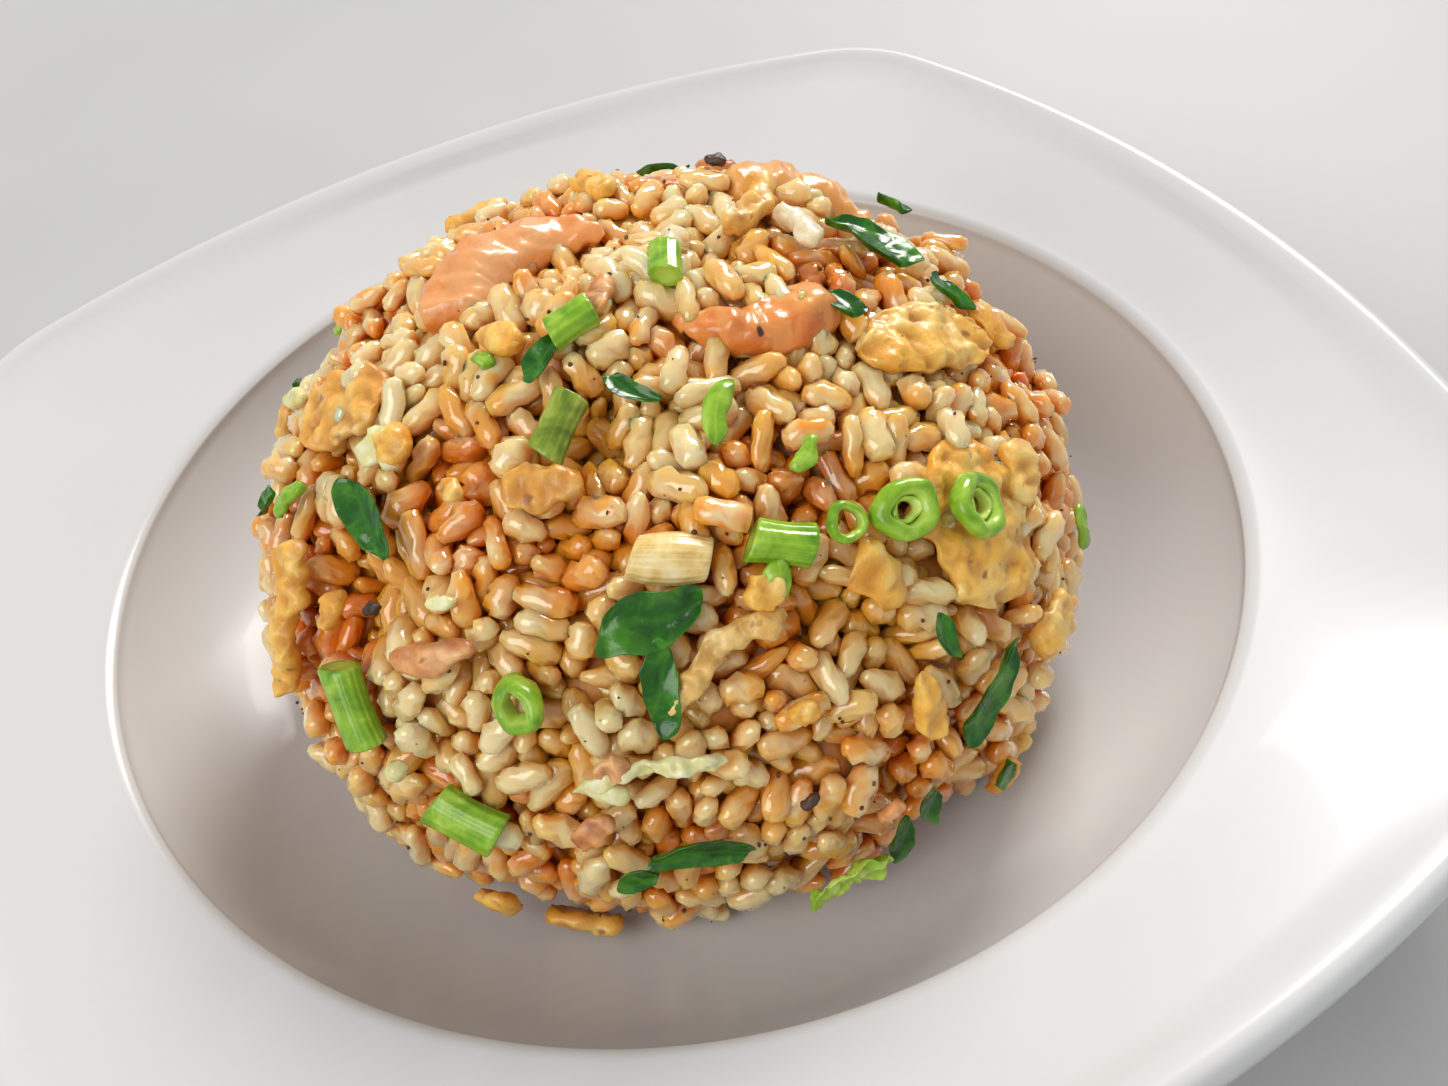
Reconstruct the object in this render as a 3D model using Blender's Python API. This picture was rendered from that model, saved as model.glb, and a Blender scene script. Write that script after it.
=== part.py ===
"""Shrimp fried rice, turned out of a rice bowl into the round well of a soft-square porcelain plate.

Metres, +Z up. The origin is the middle of the foot ring's underside, and the plate's sides face X and Y.
"""

import math

import bmesh
import bpy
from mathutils import Vector, noise

MM = 0.001
GAP = 0.3 * MM  # kept between pieces that touch

# Plate: a round well inside a soft-square rim, all arcs
HALF_WIDTH = 102.0 * MM  # centre to the middle of a side
SIDE_RADIUS = 203.0 * MM
CORNER_RADIUS = 23.0 * MM
WELL_RADIUS = 79.5 * MM  # to the crest of the well's edge
EDGE_HEIGHT = 28.2 * MM  # the crest above the table
RIM_RISE = 7.4 * MM  # the lip above the crest
FLOOR_HEIGHT = 8.0 * MM
FLOOR_RADIUS = 50.0 * MM  # the flat part of the well's floor
WALL_REACH = 29.5 * MM  # radial half-axis of the wall's elliptical section
WALL_RISE = 28.1 * MM
WALL_ANGLES = (9, 22, 37, 50, 61, 70)
CREST_RADIUS = 3.0 * MM
CREST_ANGLES = (40, 15)
LIP_THICKNESS = 5.4 * MM
BEAD_INSET = 3.2 * MM
BEAD_HEIGHT = 0.4 * MM
FOOT_OUTER = 54.0 * MM
FOOT_INNER = 50.5 * MM
FOOT_RECESS = 2.2 * MM
PLATE_SEGMENTS = 52
CORNER_CROWDING = 0.42  # how much closer the segments lie at the corners

# Rice mound: two half superellipsoids joined at the widest ring
MOUND_CENTRE = Vector((-0.4 * MM, -3.3 * MM, 24.2 * MM))
MOUND_RADIUS = 56.4 * MM
MOUND_UP = 46.8 * MM  # from the widest ring to the top
MOUND_DOWN = 31.0 * MM
MOUND_POWER = 2.13
MOUND_BASE = FLOOR_HEIGHT + 0.4 * MM
BASE_TUCK = 0.96  # the lowest ring is drawn in, clear of the well's rising wall
MOUND_SEGMENTS = 42
MOUND_RINGS = 17
GRAIN_RELIEF = 1.7 * MM
GRAIN_SIZE = 6.5 * MM
LUMP_RELIEF = 0.9 * MM
LUMP_SIZE = 24.0 * MM
# Hollows between clumps: azimuth, elevation, depth and half-width
HOLLOWS = ((194, 30, 4.0 * MM, 5.0 * MM), (236, 60, 3.0 * MM, 5.0 * MM), (272, 33, 3.0 * MM, 5.0 * MM))

# Toppings. Azimuth and elevation (degrees) say where a piece lies on the mound, seen from MOUND_CENTRE.
# Heading 0 lays its length along the growing azimuth, and 90 lays it uphill. Sizes and lift are in mm.
# name: azimuth, elevation, heading, length along the back, body width, curl (degrees), lift
SHRIMPS = {
    "shrimp_upper_left": (127, 72, 150, 29, 11.0, 130, -0.8),
    "shrimp_top": (306, 70, 127, 21, 8.6, 100, -0.8),
    "shrimp_back": (17, 52, 222, 23, 10.0, 110, -0.8),
}
# name: azimuth, elevation, heading, length, width, thickness, lift, crumple
EGG_SHEETS = {
    "egg_right_sheet": (299, 30, 70, 20, 15, 2.4, -0.2, 0.9),
    "egg_right_band": (322, 46, 135, 21, 9, 2.4, 0.0, 1.0),
    "egg_left_patch": (170, 46, 60, 15, 11, 2.4, 0.0, 0.9),
    "egg_crumble": (229, 53, 10, 9, 5, 3.2, 0.6, 0.8),
    "egg_low_right": (302, 11, 20, 9, 6, 2.6, 0.3, 0.8),
    "egg_low_curl": (279, 17, 82, 9, 3.6, 2.4, 0.4, 0.7),
}
# name: azimuth, elevation, heading, length, width, thickness, lift, bow (sideways, as a share of length)
EGG_STRIPS = {
    "egg_left_strip": (186, 22, 100, 21, 4.6, 2.6, 0.6, -0.10),
    "egg_cross_strip": (257, 31, 28, 16, 2.8, 2.2, 0.9, 0.16),
    "egg_top_curl": (17.5, 67, 119, 13, 3.6, 3.4, 0.4, 0.20),
}
# name: azimuth, elevation, heading, length, width, thickness, lift, crumple
LEAVES = {
    "leaf_middle": (248, 38, 14, 11, 4.8, 1.0, 0.9, 0.5),
    "leaf_right": (288, 13.5, 16, 11, 4.6, 1.0, 0.6, 0.5),
    "leaf_low": (249, 9.5, -2, 11, 3.4, 1.0, 0.6, 0.4),
    "leaf_top": (348, 54, 40, 11, 5.0, 1.0, 0.8, 0.6),
    "leaf_left": (197, 42, -35, 9.5, 5.6, 1.0, 0.3, 0.5),
    "lettuce_frill": (265, -3, 18, 10, 3.8, 1.0, 1.0, 0.9),
    "stem_ribbon": (245, 20, 8, 17, 1.8, 1.1, 1.0, 0.3),
    "cabbage_chunk": (191, 49, 5, 7.2, 4.6, 2.0, 0.8, 0.3),
    "onion_top": (352, 64, 8, 9, 3.6, 2.2, 1.0, 0.3),
}
# name: azimuth, elevation, outer diameter, tube diameter, tilt (degrees), lift
SCALLION_RINGS = {
    "scallion_ring_left": (287.5, 38.5, 6.6, 2.2, 14, 2.3),
    "scallion_ring_right": (297, 33.5, 7.4, 2.6, -16, 3.0),
}
# name: azimuth, elevation, heading, length, diameter, lift
SCALLION_STALKS = {
    "scallion_stalk_left": (205, 21, -52, 9.5, 4.6, 0.6),
    "scallion_stalk_low": (222, 12, -16, 8.5, 5.2, 0.4),
    "scallion_stalk_pale": (252, 44, -12, 8.6, 4.6, 0.6),
    "scallion_stalk_green": (229.5, 61, 80, 7.6, 4.0, 0.4),
    "scallion_chip": (269, 42, -28, 6.6, 4.4, 0.6),
}

PORCELAIN = ((0.93, 0.93, 0.92), 0.12)
RICE = ((0.86, 0.70, 0.48), 0.35)
SHRIMP = ((0.92, 0.50, 0.28), 0.30)
EGG = ((0.93, 0.63, 0.25), 0.45)
LEAF = ((0.06, 0.27, 0.05), 0.35)
FRESH_GREEN = ((0.38, 0.62, 0.08), 0.35)
PALE_STEM = ((0.88, 0.80, 0.45), 0.35)
ONION = ((0.90, 0.82, 0.66), 0.30)
LOOK_OF = {
    "lettuce_frill": FRESH_GREEN,
    "stem_ribbon": PALE_STEM,
    "cabbage_chunk": PALE_STEM,
    "onion_top": ONION,
    "scallion_stalk_pale": PALE_STEM,
}


def clear_scene():
    for obj in list(bpy.data.objects):
        bpy.data.objects.remove(obj)


def collection(name):
    made = bpy.data.collections.new(name)
    bpy.context.scene.collection.children.link(made)
    return made


def material(name, look):
    colour, roughness = look
    made = bpy.data.materials.new(name)
    made.use_nodes = True
    shader = made.node_tree.nodes["Principled BSDF"]
    shader.inputs["Base Color"].default_value = (*colour, 1)
    shader.inputs["Roughness"].default_value = roughness
    return made


def add_object(name, body, look, where):
    """Puts the finished bmesh in a new object with its own material."""
    body.normal_update()
    bmesh.ops.triangulate(body, faces=body.faces)
    bmesh.ops.recalc_face_normals(body, faces=body.faces)
    mesh = bpy.data.meshes.new(name)
    body.to_mesh(mesh)
    body.free()
    mesh.shade_smooth()
    mesh.materials.append(material(name, look))
    obj = bpy.data.objects.new(name, mesh)
    where.objects.link(obj)
    return obj


def skin(first_tip, rings, last_tip):
    """A closed body lofted through rings of equally many points, ending in a point at each end."""
    body = bmesh.new()
    rows = [[body.verts.new(point) for point in ring] for ring in rings]
    count = len(rows[0])
    for row, after in zip(rows, rows[1:]):
        for i in range(count):
            j = (i + 1) % count
            body.faces.new((row[i], row[j], after[j], after[i]))
    for tip, row in ((body.verts.new(first_tip), rows[0]), (body.verts.new(last_tip), rows[-1])):
        for i in range(count):
            body.faces.new((tip, row[i], row[(i + 1) % count]))
    return body


# --- plate ---


def corner_offset():
    """The corner arc's centre lies at this X and Y, where the arc meets both side arcs smoothly."""
    shift = HALF_WIDTH - SIDE_RADIUS
    spare = SIDE_RADIUS - CORNER_RADIUS
    return (shift + math.sqrt(2 * spare**2 - shift**2)) / 2


def rim_reach(azimuth):
    """Distance from the centre to the soft-square outline."""
    beta = abs((azimuth + math.pi / 4) % (math.pi / 2) - math.pi / 4)
    shift = HALF_WIDTH - SIDE_RADIUS
    centre = corner_offset()
    turn = math.atan2(centre, centre - shift)
    joint = math.atan2(SIDE_RADIUS * math.sin(turn), shift + SIDE_RADIUS * math.cos(turn))
    if beta <= joint:
        return shift * math.cos(beta) + math.sqrt(SIDE_RADIUS**2 - (shift * math.sin(beta)) ** 2)
    along = centre * (math.cos(beta) + math.sin(beta))
    aside = centre * (math.cos(beta) - math.sin(beta))
    return along + math.sqrt(CORNER_RADIUS**2 - aside**2)


def well_profile():
    """Rings (radius, height) from the floor's flat out over the crest."""
    profile = [(FLOOR_RADIUS * share, FLOOR_HEIGHT) for share in (0.35, 0.7, 1.0)]
    for angle in WALL_ANGLES:
        t = math.radians(angle)
        radius = FLOOR_RADIUS + WALL_REACH * math.sin(t)
        profile.append((radius, FLOOR_HEIGHT + WALL_RISE * (1 - math.cos(t))))
    for angle in CREST_ANGLES:
        t = math.radians(angle)
        outward = CREST_RADIUS * (math.sin(t) - math.sin(math.radians(CREST_ANGLES[-1])))
        down = CREST_RADIUS * (math.cos(math.radians(CREST_ANGLES[-1])) - math.cos(t))
        profile.append((WELL_RADIUS - outward, EDGE_HEIGHT - down))
    return profile


def rim_profile():
    """Rings (share of the way from crest to outline, inset, height) over the rim and round the lip."""
    top = EDGE_HEIGHT + RIM_RISE
    profile = [(share, 0, EDGE_HEIGHT + RIM_RISE * share**1.15) for share in (0.35, 0.7)]
    profile.append((1, BEAD_INSET + 0.9 * MM, top - 0.7 * MM))
    profile.append((1, BEAD_INSET, top - 0.7 * MM + BEAD_HEIGHT))
    profile.append((1, 1.7 * MM, top))
    profile.append((1, 0.4 * MM, top - 0.9 * MM))
    profile.append((1, 0, top - LIP_THICKNESS / 2))
    profile.append((1, 0.5 * MM, top - LIP_THICKNESS + 0.9 * MM))
    profile.append((1, 2.2 * MM, top - LIP_THICKNESS))
    profile.append((0.5, 0, EDGE_HEIGHT - 2.4 * MM))
    return profile


def underside_profile():
    """Rings (radius, height) from under the crest in to the recess of the foot."""
    return [
        (WELL_RADIUS + 1.5 * MM, EDGE_HEIGHT - 5.8 * MM),
        (WELL_RADIUS - 5.5 * MM, FLOOR_HEIGHT + 5.0 * MM),
        (WELL_RADIUS - 15.5 * MM, FLOOR_HEIGHT - 1.7 * MM),
        (FOOT_OUTER + 1.5 * MM, FLOOR_HEIGHT - 5.0 * MM),
        (FOOT_OUTER, 0),
        (FOOT_INNER, 0),
        (FOOT_INNER - 2.0 * MM, FOOT_RECESS),
    ]


def plate_azimuths():
    for i in range(PLATE_SEGMENTS):
        turn = math.tau * i / PLATE_SEGMENTS
        yield turn + CORNER_CROWDING * math.sin(4 * turn) / 4


def make_plate(where):
    azimuths = list(plate_azimuths())
    heights = [(0, 0, radius, height) for radius, height in well_profile()]
    heights += [(share, inset, WELL_RADIUS, height) for share, inset, height in rim_profile()]
    heights += [(0, 0, radius, height) for radius, height in underside_profile()]
    rings = []
    for share, inset, radius, height in heights:
        ring = []
        for azimuth in azimuths:
            reach = radius + share * (rim_reach(azimuth) - inset - radius)
            ring.append((reach * math.cos(azimuth), reach * math.sin(azimuth), height))
        rings.append(ring)
    body = skin((0, 0, FLOOR_HEIGHT), rings, (0, 0, FOOT_RECESS))
    return add_object("plate", body, PORCELAIN, where)


# --- rice mound ---


def direction(azimuth, elevation):
    turn, rise = math.radians(azimuth), math.radians(elevation)
    return Vector((math.cos(rise) * math.cos(turn), math.cos(rise) * math.sin(turn), math.sin(rise)))


def mound_reach(aim):
    """Distance from MOUND_CENTRE to the mound's smooth outline in a direction."""
    level = math.hypot(aim.x, aim.y) / MOUND_RADIUS
    steep = abs(aim.z) / (MOUND_UP if aim.z > 0 else MOUND_DOWN)
    return (level**MOUND_POWER + steep**MOUND_POWER) ** (-1 / MOUND_POWER)


def unevenness(aim):
    """How far the packed grains and clumps stand out from the smooth outline, or fall back into a hollow."""
    spot = aim * mound_reach(aim)
    lift = GRAIN_RELIEF * noise.noise(spot / GRAIN_SIZE) + LUMP_RELIEF * noise.noise(spot / LUMP_SIZE)
    for azimuth, elevation, depth, width in HOLLOWS:
        middle = direction(azimuth, elevation)
        away = (spot - middle * mound_reach(middle)).length / width
        lift -= depth * math.exp(-(away**2))
    return lift


def make_mound(where):
    lowest = math.degrees(math.atan2(MOUND_BASE - MOUND_CENTRE.z, MOUND_RADIUS * 0.88))
    rings = []
    for k in range(MOUND_RINGS):
        elevation = 90 - (90 - lowest) * (k + 1) / MOUND_RINGS
        ring = []
        for i in range(MOUND_SEGMENTS):
            azimuth = 360 * (i + 0.5 * (k % 2)) / MOUND_SEGMENTS
            aim = direction(azimuth, elevation)
            point = MOUND_CENTRE + aim * (mound_reach(aim) + unevenness(aim))
            if k == MOUND_RINGS - 1:
                point = MOUND_CENTRE + (point - MOUND_CENTRE) * BASE_TUCK
                point.z = MOUND_BASE
            ring.append(point)
        rings.append(ring)
    top = direction(0, 90)
    crown = MOUND_CENTRE + top * (mound_reach(top) + unevenness(top))
    base = (MOUND_CENTRE.x, MOUND_CENTRE.y, MOUND_BASE)
    return add_object("rice_mound", skin(crown, rings, base), RICE, where)


# --- toppings ---


def on_mound(azimuth, elevation, heading=0):
    """A function that lays a point, given in mm along, across and above a piece, over the mound's curve."""
    out = direction(azimuth, elevation)
    east = Vector((-math.sin(math.radians(azimuth)), math.cos(math.radians(azimuth)), 0))
    uphill = out.cross(east)
    turn = math.radians(heading)
    along = east * math.cos(turn) + uphill * math.sin(turn)
    across = uphill * math.cos(turn) - east * math.sin(turn)
    middle = out * mound_reach(out)

    def lay(x, y, z):
        aim = (middle + (along * x + across * y) * MM).normalized()
        return MOUND_CENTRE + aim * (mound_reach(aim) + z * MM)

    return lay


def slab(lay, length, width, thickness, lift, crumple, sides, shares):
    """A draped piece with a lobed edge: its upper face, its edge and its lower face, as one skin."""

    def ring(share, side):
        points = []
        for i in range(sides):
            turn = math.tau * i / sides
            lobe = 1 + 0.14 * math.sin(3 * turn + length) + 0.07 * math.sin(5 * turn + width)
            x = length / 2 * lobe * share * math.cos(turn)
            y = width / 2 * lobe * share * math.sin(turn)
            wave = crumple * noise.noise(Vector((x, y, length)) / 3.5)
            points.append(lay(x, y, lift + wave + side * thickness / 2))
        return points

    wave = crumple * noise.noise(Vector((0, 0, length)) / 3.5)
    upper = [ring(share, 1) for share in shares]
    lower = [ring(share, -1) for share in reversed(shares)]
    edge = [ring(1.05, 0)]
    first, last = lay(0, 0, lift + wave + thickness / 2), lay(0, 0, lift + wave - thickness / 2)
    return skin(first, upper + edge + lower, last)


def strand(lay, path, half_sizes, sides):
    """A draped body along a path of (x, y, z) points, oval in section, with a point at each end."""
    rings = []
    for k in range(1, len(path) - 1):
        forward = (Vector(path[k + 1]) - Vector(path[k - 1])).normalized()
        aside = Vector((-forward.y, forward.x, 0))
        wide, high = half_sizes[k]
        ring = []
        for i in range(sides):
            turn = math.tau * i / sides
            point = Vector(path[k]) + aside * wide * math.cos(turn) + Vector((0, 0, high * math.sin(turn)))
            ring.append(lay(*point))
        rings.append(ring)
    return skin(lay(*path[0]), rings, lay(*path[-1]))


def shrimp_body(lay, length, width, curl, lift):
    """A curled, peeled tail: thick at the head end, ridged at each shell segment, thin at the tail."""
    steps = 13
    bend = length / math.radians(curl)
    path, sizes = [], []
    for k in range(steps + 1):
        share = k / steps
        turn = math.radians(curl) * (share - 0.5)
        path.append((bend * math.sin(turn), bend * (math.cos(turn) - 0.75), lift))
        taper = math.sin(math.pi * min(share + 0.06, 1) ** 0.72) ** 0.45 if 0 < share < 1 else 0
        ridge = 1 + 0.05 * math.sin(6 * math.tau * share)
        sizes.append((width / 2 * taper * ridge, width * 0.42 * taper * ridge))
    return strand(lay, path, sizes, 9)


def strip_body(lay, length, width, thickness, lift, bow):
    """A torn ribbon of omelette, bowed sideways, with a rough edge."""
    steps = 9
    path, sizes = [], []
    for k in range(steps + 1):
        share = k / steps
        x = length * (share - 0.5)
        y = bow * length * (1 - (2 * share - 1) ** 2)
        rough = 1 + 0.22 * math.sin(2.6 * k + length)
        path.append((x, y, lift + 0.35 * math.sin(1.9 * k)))
        sizes.append((width / 2 * rough, thickness / 2))
    return strand(lay, path, sizes, 8)


def stalk_body(lay, length, diameter, lift):
    """A cut length of scallion stalk, a flattened cylinder with slanting ends."""
    body = bmesh.new()
    bmesh.ops.create_cone(body, cap_ends=True, segments=10, radius1=0.5, radius2=0.5, depth=1)
    for vert in body.verts:
        across, high, along = vert.co
        x = along * length + 0.5 * across * diameter * 0.3
        vert.co = lay(x, across * diameter, lift + high * diameter * 0.6)
    return body


def ring_body(lay, outer, tube, tilt, lift):
    """A slice across the green: a torus laid nearly flat."""
    bpy.ops.mesh.primitive_torus_add(
        major_radius=(outer - tube) / 2, minor_radius=tube / 2, major_segments=16, minor_segments=7
    )
    made = bpy.context.active_object
    body = bmesh.new()
    body.from_mesh(made.data)
    bpy.data.objects.remove(made)
    for vert in body.verts:
        x, y, z = vert.co
        vert.co = lay(x, y, z * 1.1 + lift + x * math.tan(math.radians(tilt)))
    return body


def make_toppings(where):
    made = []
    for name, (azimuth, elevation, heading, length, width, curl, lift) in SHRIMPS.items():
        lay = on_mound(azimuth, elevation, heading)
        made.append(add_object(name, shrimp_body(lay, length, width, curl, lift), SHRIMP, where))
    for name, (azimuth, elevation, heading, length, width, thickness, lift, crumple) in EGG_SHEETS.items():
        lay = on_mound(azimuth, elevation, heading)
        body = slab(lay, length, width, thickness, lift, crumple, 13, (0.5, 0.9))
        made.append(add_object(name, body, EGG, where))
    for name, (azimuth, elevation, heading, length, width, thickness, lift, bow) in EGG_STRIPS.items():
        lay = on_mound(azimuth, elevation, heading)
        made.append(add_object(name, strip_body(lay, length, width, thickness, lift, bow), EGG, where))
    for name, (azimuth, elevation, heading, length, width, thickness, lift, crumple) in LEAVES.items():
        lay = on_mound(azimuth, elevation, heading)
        body = slab(lay, length, width, thickness, lift, crumple, 11, (0.85,))
        made.append(add_object(name, body, LOOK_OF.get(name, LEAF), where))
    for name, (azimuth, elevation, outer, tube, tilt, lift) in SCALLION_RINGS.items():
        body = ring_body(on_mound(azimuth, elevation), outer, tube, tilt, lift)
        made.append(add_object(name, body, FRESH_GREEN, where))
    for name, (azimuth, elevation, heading, length, diameter, lift) in SCALLION_STALKS.items():
        body = stalk_body(on_mound(azimuth, elevation, heading), length, diameter, lift)
        made.append(add_object(name, body, LOOK_OF.get(name, FRESH_GREEN), where))
    return made


def sink_into(mound, pieces, where):
    """Cuts each piece's seat from the mound, a gap wider all round than the piece."""
    for piece in pieces:
        mesh = piece.data.copy()
        seat = bpy.data.objects.new("seat_of_" + piece.name, mesh)
        where.objects.link(seat)
        normals = [vert.normal.copy() for vert in mesh.vertices]
        for vert, normal in zip(mesh.vertices, normals):
            vert.co += normal * GAP * 1.25
        seat.hide_render = True
        seat.display_type = "WIRE"
        cut = mound.modifiers.new(seat.name, "BOOLEAN")
        cut.operation = "DIFFERENCE"
        cut.solver = "EXACT"
        cut.object = seat


def main():
    clear_scene()
    dish = collection("fried_rice")
    seats = collection("seats")
    make_plate(dish)
    mound = make_mound(dish)
    sink_into(mound, make_toppings(dish), seats)


main()
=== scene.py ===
"""Shrimp fried rice, turned out of a rice bowl into the round well of a soft-square porcelain plate.

Shapes are worked out in millimetres from the middle of the foot ring's underside, and turned into metres
as each mesh is made. Azimuth and elevation, in degrees, say where a piece lies on the mound.
"""

import itertools
import math

import bmesh
import bpy
import numpy as np
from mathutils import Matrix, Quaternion, Vector, noise


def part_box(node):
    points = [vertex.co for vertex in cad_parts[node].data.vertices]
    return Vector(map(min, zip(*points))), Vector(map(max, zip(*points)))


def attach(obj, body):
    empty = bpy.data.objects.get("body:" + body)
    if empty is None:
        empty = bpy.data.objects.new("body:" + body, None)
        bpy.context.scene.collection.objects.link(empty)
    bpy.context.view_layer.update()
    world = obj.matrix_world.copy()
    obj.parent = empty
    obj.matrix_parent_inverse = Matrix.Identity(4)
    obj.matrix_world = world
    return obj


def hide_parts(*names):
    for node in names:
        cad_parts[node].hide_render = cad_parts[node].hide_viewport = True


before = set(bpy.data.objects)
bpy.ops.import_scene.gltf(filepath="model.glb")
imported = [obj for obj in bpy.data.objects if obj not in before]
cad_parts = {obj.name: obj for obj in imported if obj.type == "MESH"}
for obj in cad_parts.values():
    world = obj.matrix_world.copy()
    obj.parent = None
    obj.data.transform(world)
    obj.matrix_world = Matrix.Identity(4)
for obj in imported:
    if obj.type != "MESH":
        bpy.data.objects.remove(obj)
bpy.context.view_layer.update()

MM = 0.001
TAU = math.tau

# Plate, as cast: a round well inside a soft-square rim, all arcs
PLATE_LOW, PLATE_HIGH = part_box("plate")
HALF_WIDTH = (PLATE_HIGH.x - PLATE_LOW.x) / 2 / MM
SIDE_RADIUS = 203.0
CORNER_RADIUS = 23.0
WELL_RADIUS = 79.5
RIM_RISE = 7.4
EDGE_HEIGHT = PLATE_HIGH.z / MM - RIM_RISE
FLOOR_HEIGHT = 8.0
FLOOR_RADIUS = 50.0
WALL_REACH = 29.5
WALL_RISE = 28.1
CREST_RADIUS = 3.0
FOOT_OUTER = 54.0
FOOT_INNER = 50.5
FOOT_RECESS = 2.2
PLATE_SEGMENTS = 208
# The soft bead along the lip and its rolled edge: inset from the outline, and drop below the top
LIP_SECTION = (
    (5.2, 1.25),
    (4.1, 0.74),
    (3.2, 0.36),
    (2.4, 0.10),
    (1.7, 0.0),
    (1.0, 0.24),
    (0.4, 0.90),
    (0.08, 1.80),
    (0.0, 2.70),
    (0.1, 3.60),
    (0.5, 4.50),
    (1.2, 5.10),
    (2.2, 5.40),
    (4.5, 5.60),
)

# Rice mound: two half superellipsoids joined at the widest ring
MOUND_CENTRE = np.array([-0.4, -3.3, 24.2])
MOUND_RADIUS = 56.4
MOUND_UP = 46.8
MOUND_DOWN = 31.0
MOUND_POWER = 2.13
MOUND_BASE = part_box("rice_mound")[0].z / MM
# Hollows between clumps: azimuth, elevation, depth and half-width
HOLLOWS = ((194, 30, 9.0, 7.0), (236, 60, 6.5, 6.0), (272, 33, 6.0, 5.0), (206, 41, 4.0, 4.5))
CORE_DEPTH = 5.6

# Rice grains
GRAIN_COUNT = 3700
SHELL_DEPTH = 7.6
PACKING_ROUNDS = 70
# Radius of the still spheres over the toppings, small enough for grains to lap over their edges
STILL_RADIUS = 0.35
# Elevation of the lowest grains, where the mound turns in to the well's floor
LOWEST_GRAIN = -16.5
BEADS = np.array([-0.66, 0.0, 0.66])

# Toppings that have a node. Heading 0 lays a piece along the growing azimuth, and 90 lays it uphill.
# name: azimuth, elevation, heading, length along the back, body width, curl (degrees), lift
SHRIMPS = {
    "shrimp_upper_left": (127, 72, 150, 29, 11.0, 130, -1.8),
    "shrimp_top": (306, 70, 127, 21, 8.6, 100, -1.6),
    "shrimp_back": (17, 52, 222, 23, 10.0, 110, -1.8),
}
# name: azimuth, elevation, heading, length, width, thickness, lift, crumple
EGG_SHEETS = {
    "egg_right_sheet": (299, 30, 70, 20, 15, 2.4, -0.2, 0.9),
    "egg_right_band": (322, 46, 135, 21, 9, 2.4, 0.0, 1.0),
    "egg_left_patch": (170, 46, 60, 15, 11, 2.4, 0.0, 0.9),
    "egg_crumble": (229, 53, 10, 9, 5, 3.2, 0.6, 0.8),
    "egg_low_right": (302, 11, 20, 9, 6, 2.6, 0.3, 0.8),
    "egg_low_curl": (279, 17, 82, 9, 3.6, 2.4, 0.4, 0.7),
}
# name: azimuth, elevation, heading, length, width, thickness, lift, bow (sideways, as a share of length)
EGG_STRIPS = {
    "egg_left_strip": (186, 22, 100, 21, 4.6, 2.6, 0.6, -0.10),
    "egg_cross_strip": (257, 31, 28, 16, 2.8, 2.2, 0.9, 0.16),
    "egg_top_curl": (17.5, 67, 119, 13, 3.6, 3.4, 0.4, 0.20),
}
# name: azimuth, elevation, heading, length, width, thickness, lift, crumple, fold
LEAVES = {
    "leaf_middle": (248, 38, 14, 11, 4.8, 0.7, 1.1, 0.5, 1.3),
    "leaf_right": (288, 13.5, 16, 11, 4.6, 0.7, 0.9, 0.5, 1.0),
    "leaf_low": (249, 9.5, -2, 11, 3.4, 0.7, 0.9, 0.4, 0.8),
    "leaf_top": (348, 54, 40, 11, 5.0, 0.7, 1.0, 0.6, 1.0),
    "leaf_left": (197, 42, -35, 9.5, 5.6, 0.7, 0.7, 0.5, 1.0),
}
# name: azimuth, elevation, outer diameter, height, tilt (degrees), lift
SCALLION_RINGS = {
    "scallion_ring_left": (287.5, 38.5, 7.0, 2.6, 14, 2.3),
    "scallion_ring_right": (297, 33.5, 7.6, 2.8, -16, 3.0),
}
# name: azimuth, elevation, heading, length, diameter, lift, ridges round it, waist as a share of the diameter
SCALLION_STALKS = {
    "scallion_stalk_left": (205, 21, -52, 9.5, 4.8, 0.8, 17, 0.08),
    "scallion_stalk_low": (222, 12, -16, 8.5, 5.4, 0.6, 13, 0.08),
    "scallion_stalk_pale": (252, 44, -12, 8.2, 5.0, 0.8, 19, -0.20),
    "scallion_stalk_green": (229.5, 61, 80, 7.6, 4.0, 0.6, 13, 0.08),
    "scallion_chip": (269, 42, -28, 6.6, 4.4, 0.8, 11, 0.10),
}

# Small pieces with no node of their own. azimuth, elevation, heading, length, width, thickness, lift
EGG_CRUMBS = (
    (310, 29, 40, 8, 6, 2.6, 1.0),
    (264, 38, 60, 4.4, 3.6, 2.4, 1.2),
    (193, 70, 20, 6, 5, 2.2, 0.8),
    (192, 51, 70, 4.4, 5, 2.4, 1.2),
    (198, 30, 80, 5, 3, 2.0, 0.6),
    (264, 24, 10, 3.4, 3, 2.0, 1.2),
    (211, 50, 0, 3.2, 2.2, 1.8, 1.0),
    (290, -7, 75, 7, 4, 2.4, 0.8),
    (334, 37, 30, 7, 4.5, 2.2, 0.8),
    (78, 64, 100, 9, 5, 2.4, 0.6),
    (100, 38, 20, 10, 6, 2.4, 0.6),
    (60, 22, 70, 9, 4.5, 2.4, 0.8),
    (142, 20, 110, 9, 4, 2.4, 0.8),
    (280, 34, 60, 8, 5.4, 2.2, 0.5),
    (221, -8, 30, 8, 4.6, 2.0, 0.6),
    (199, -13, 20, 6.5, 3, 2.0, 0.4),
    (231, -12, 10, 10, 5, 2.4, 0.6),
    (297, -12, 20, 6, 3.4, 2.0, 0.4),
)
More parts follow.
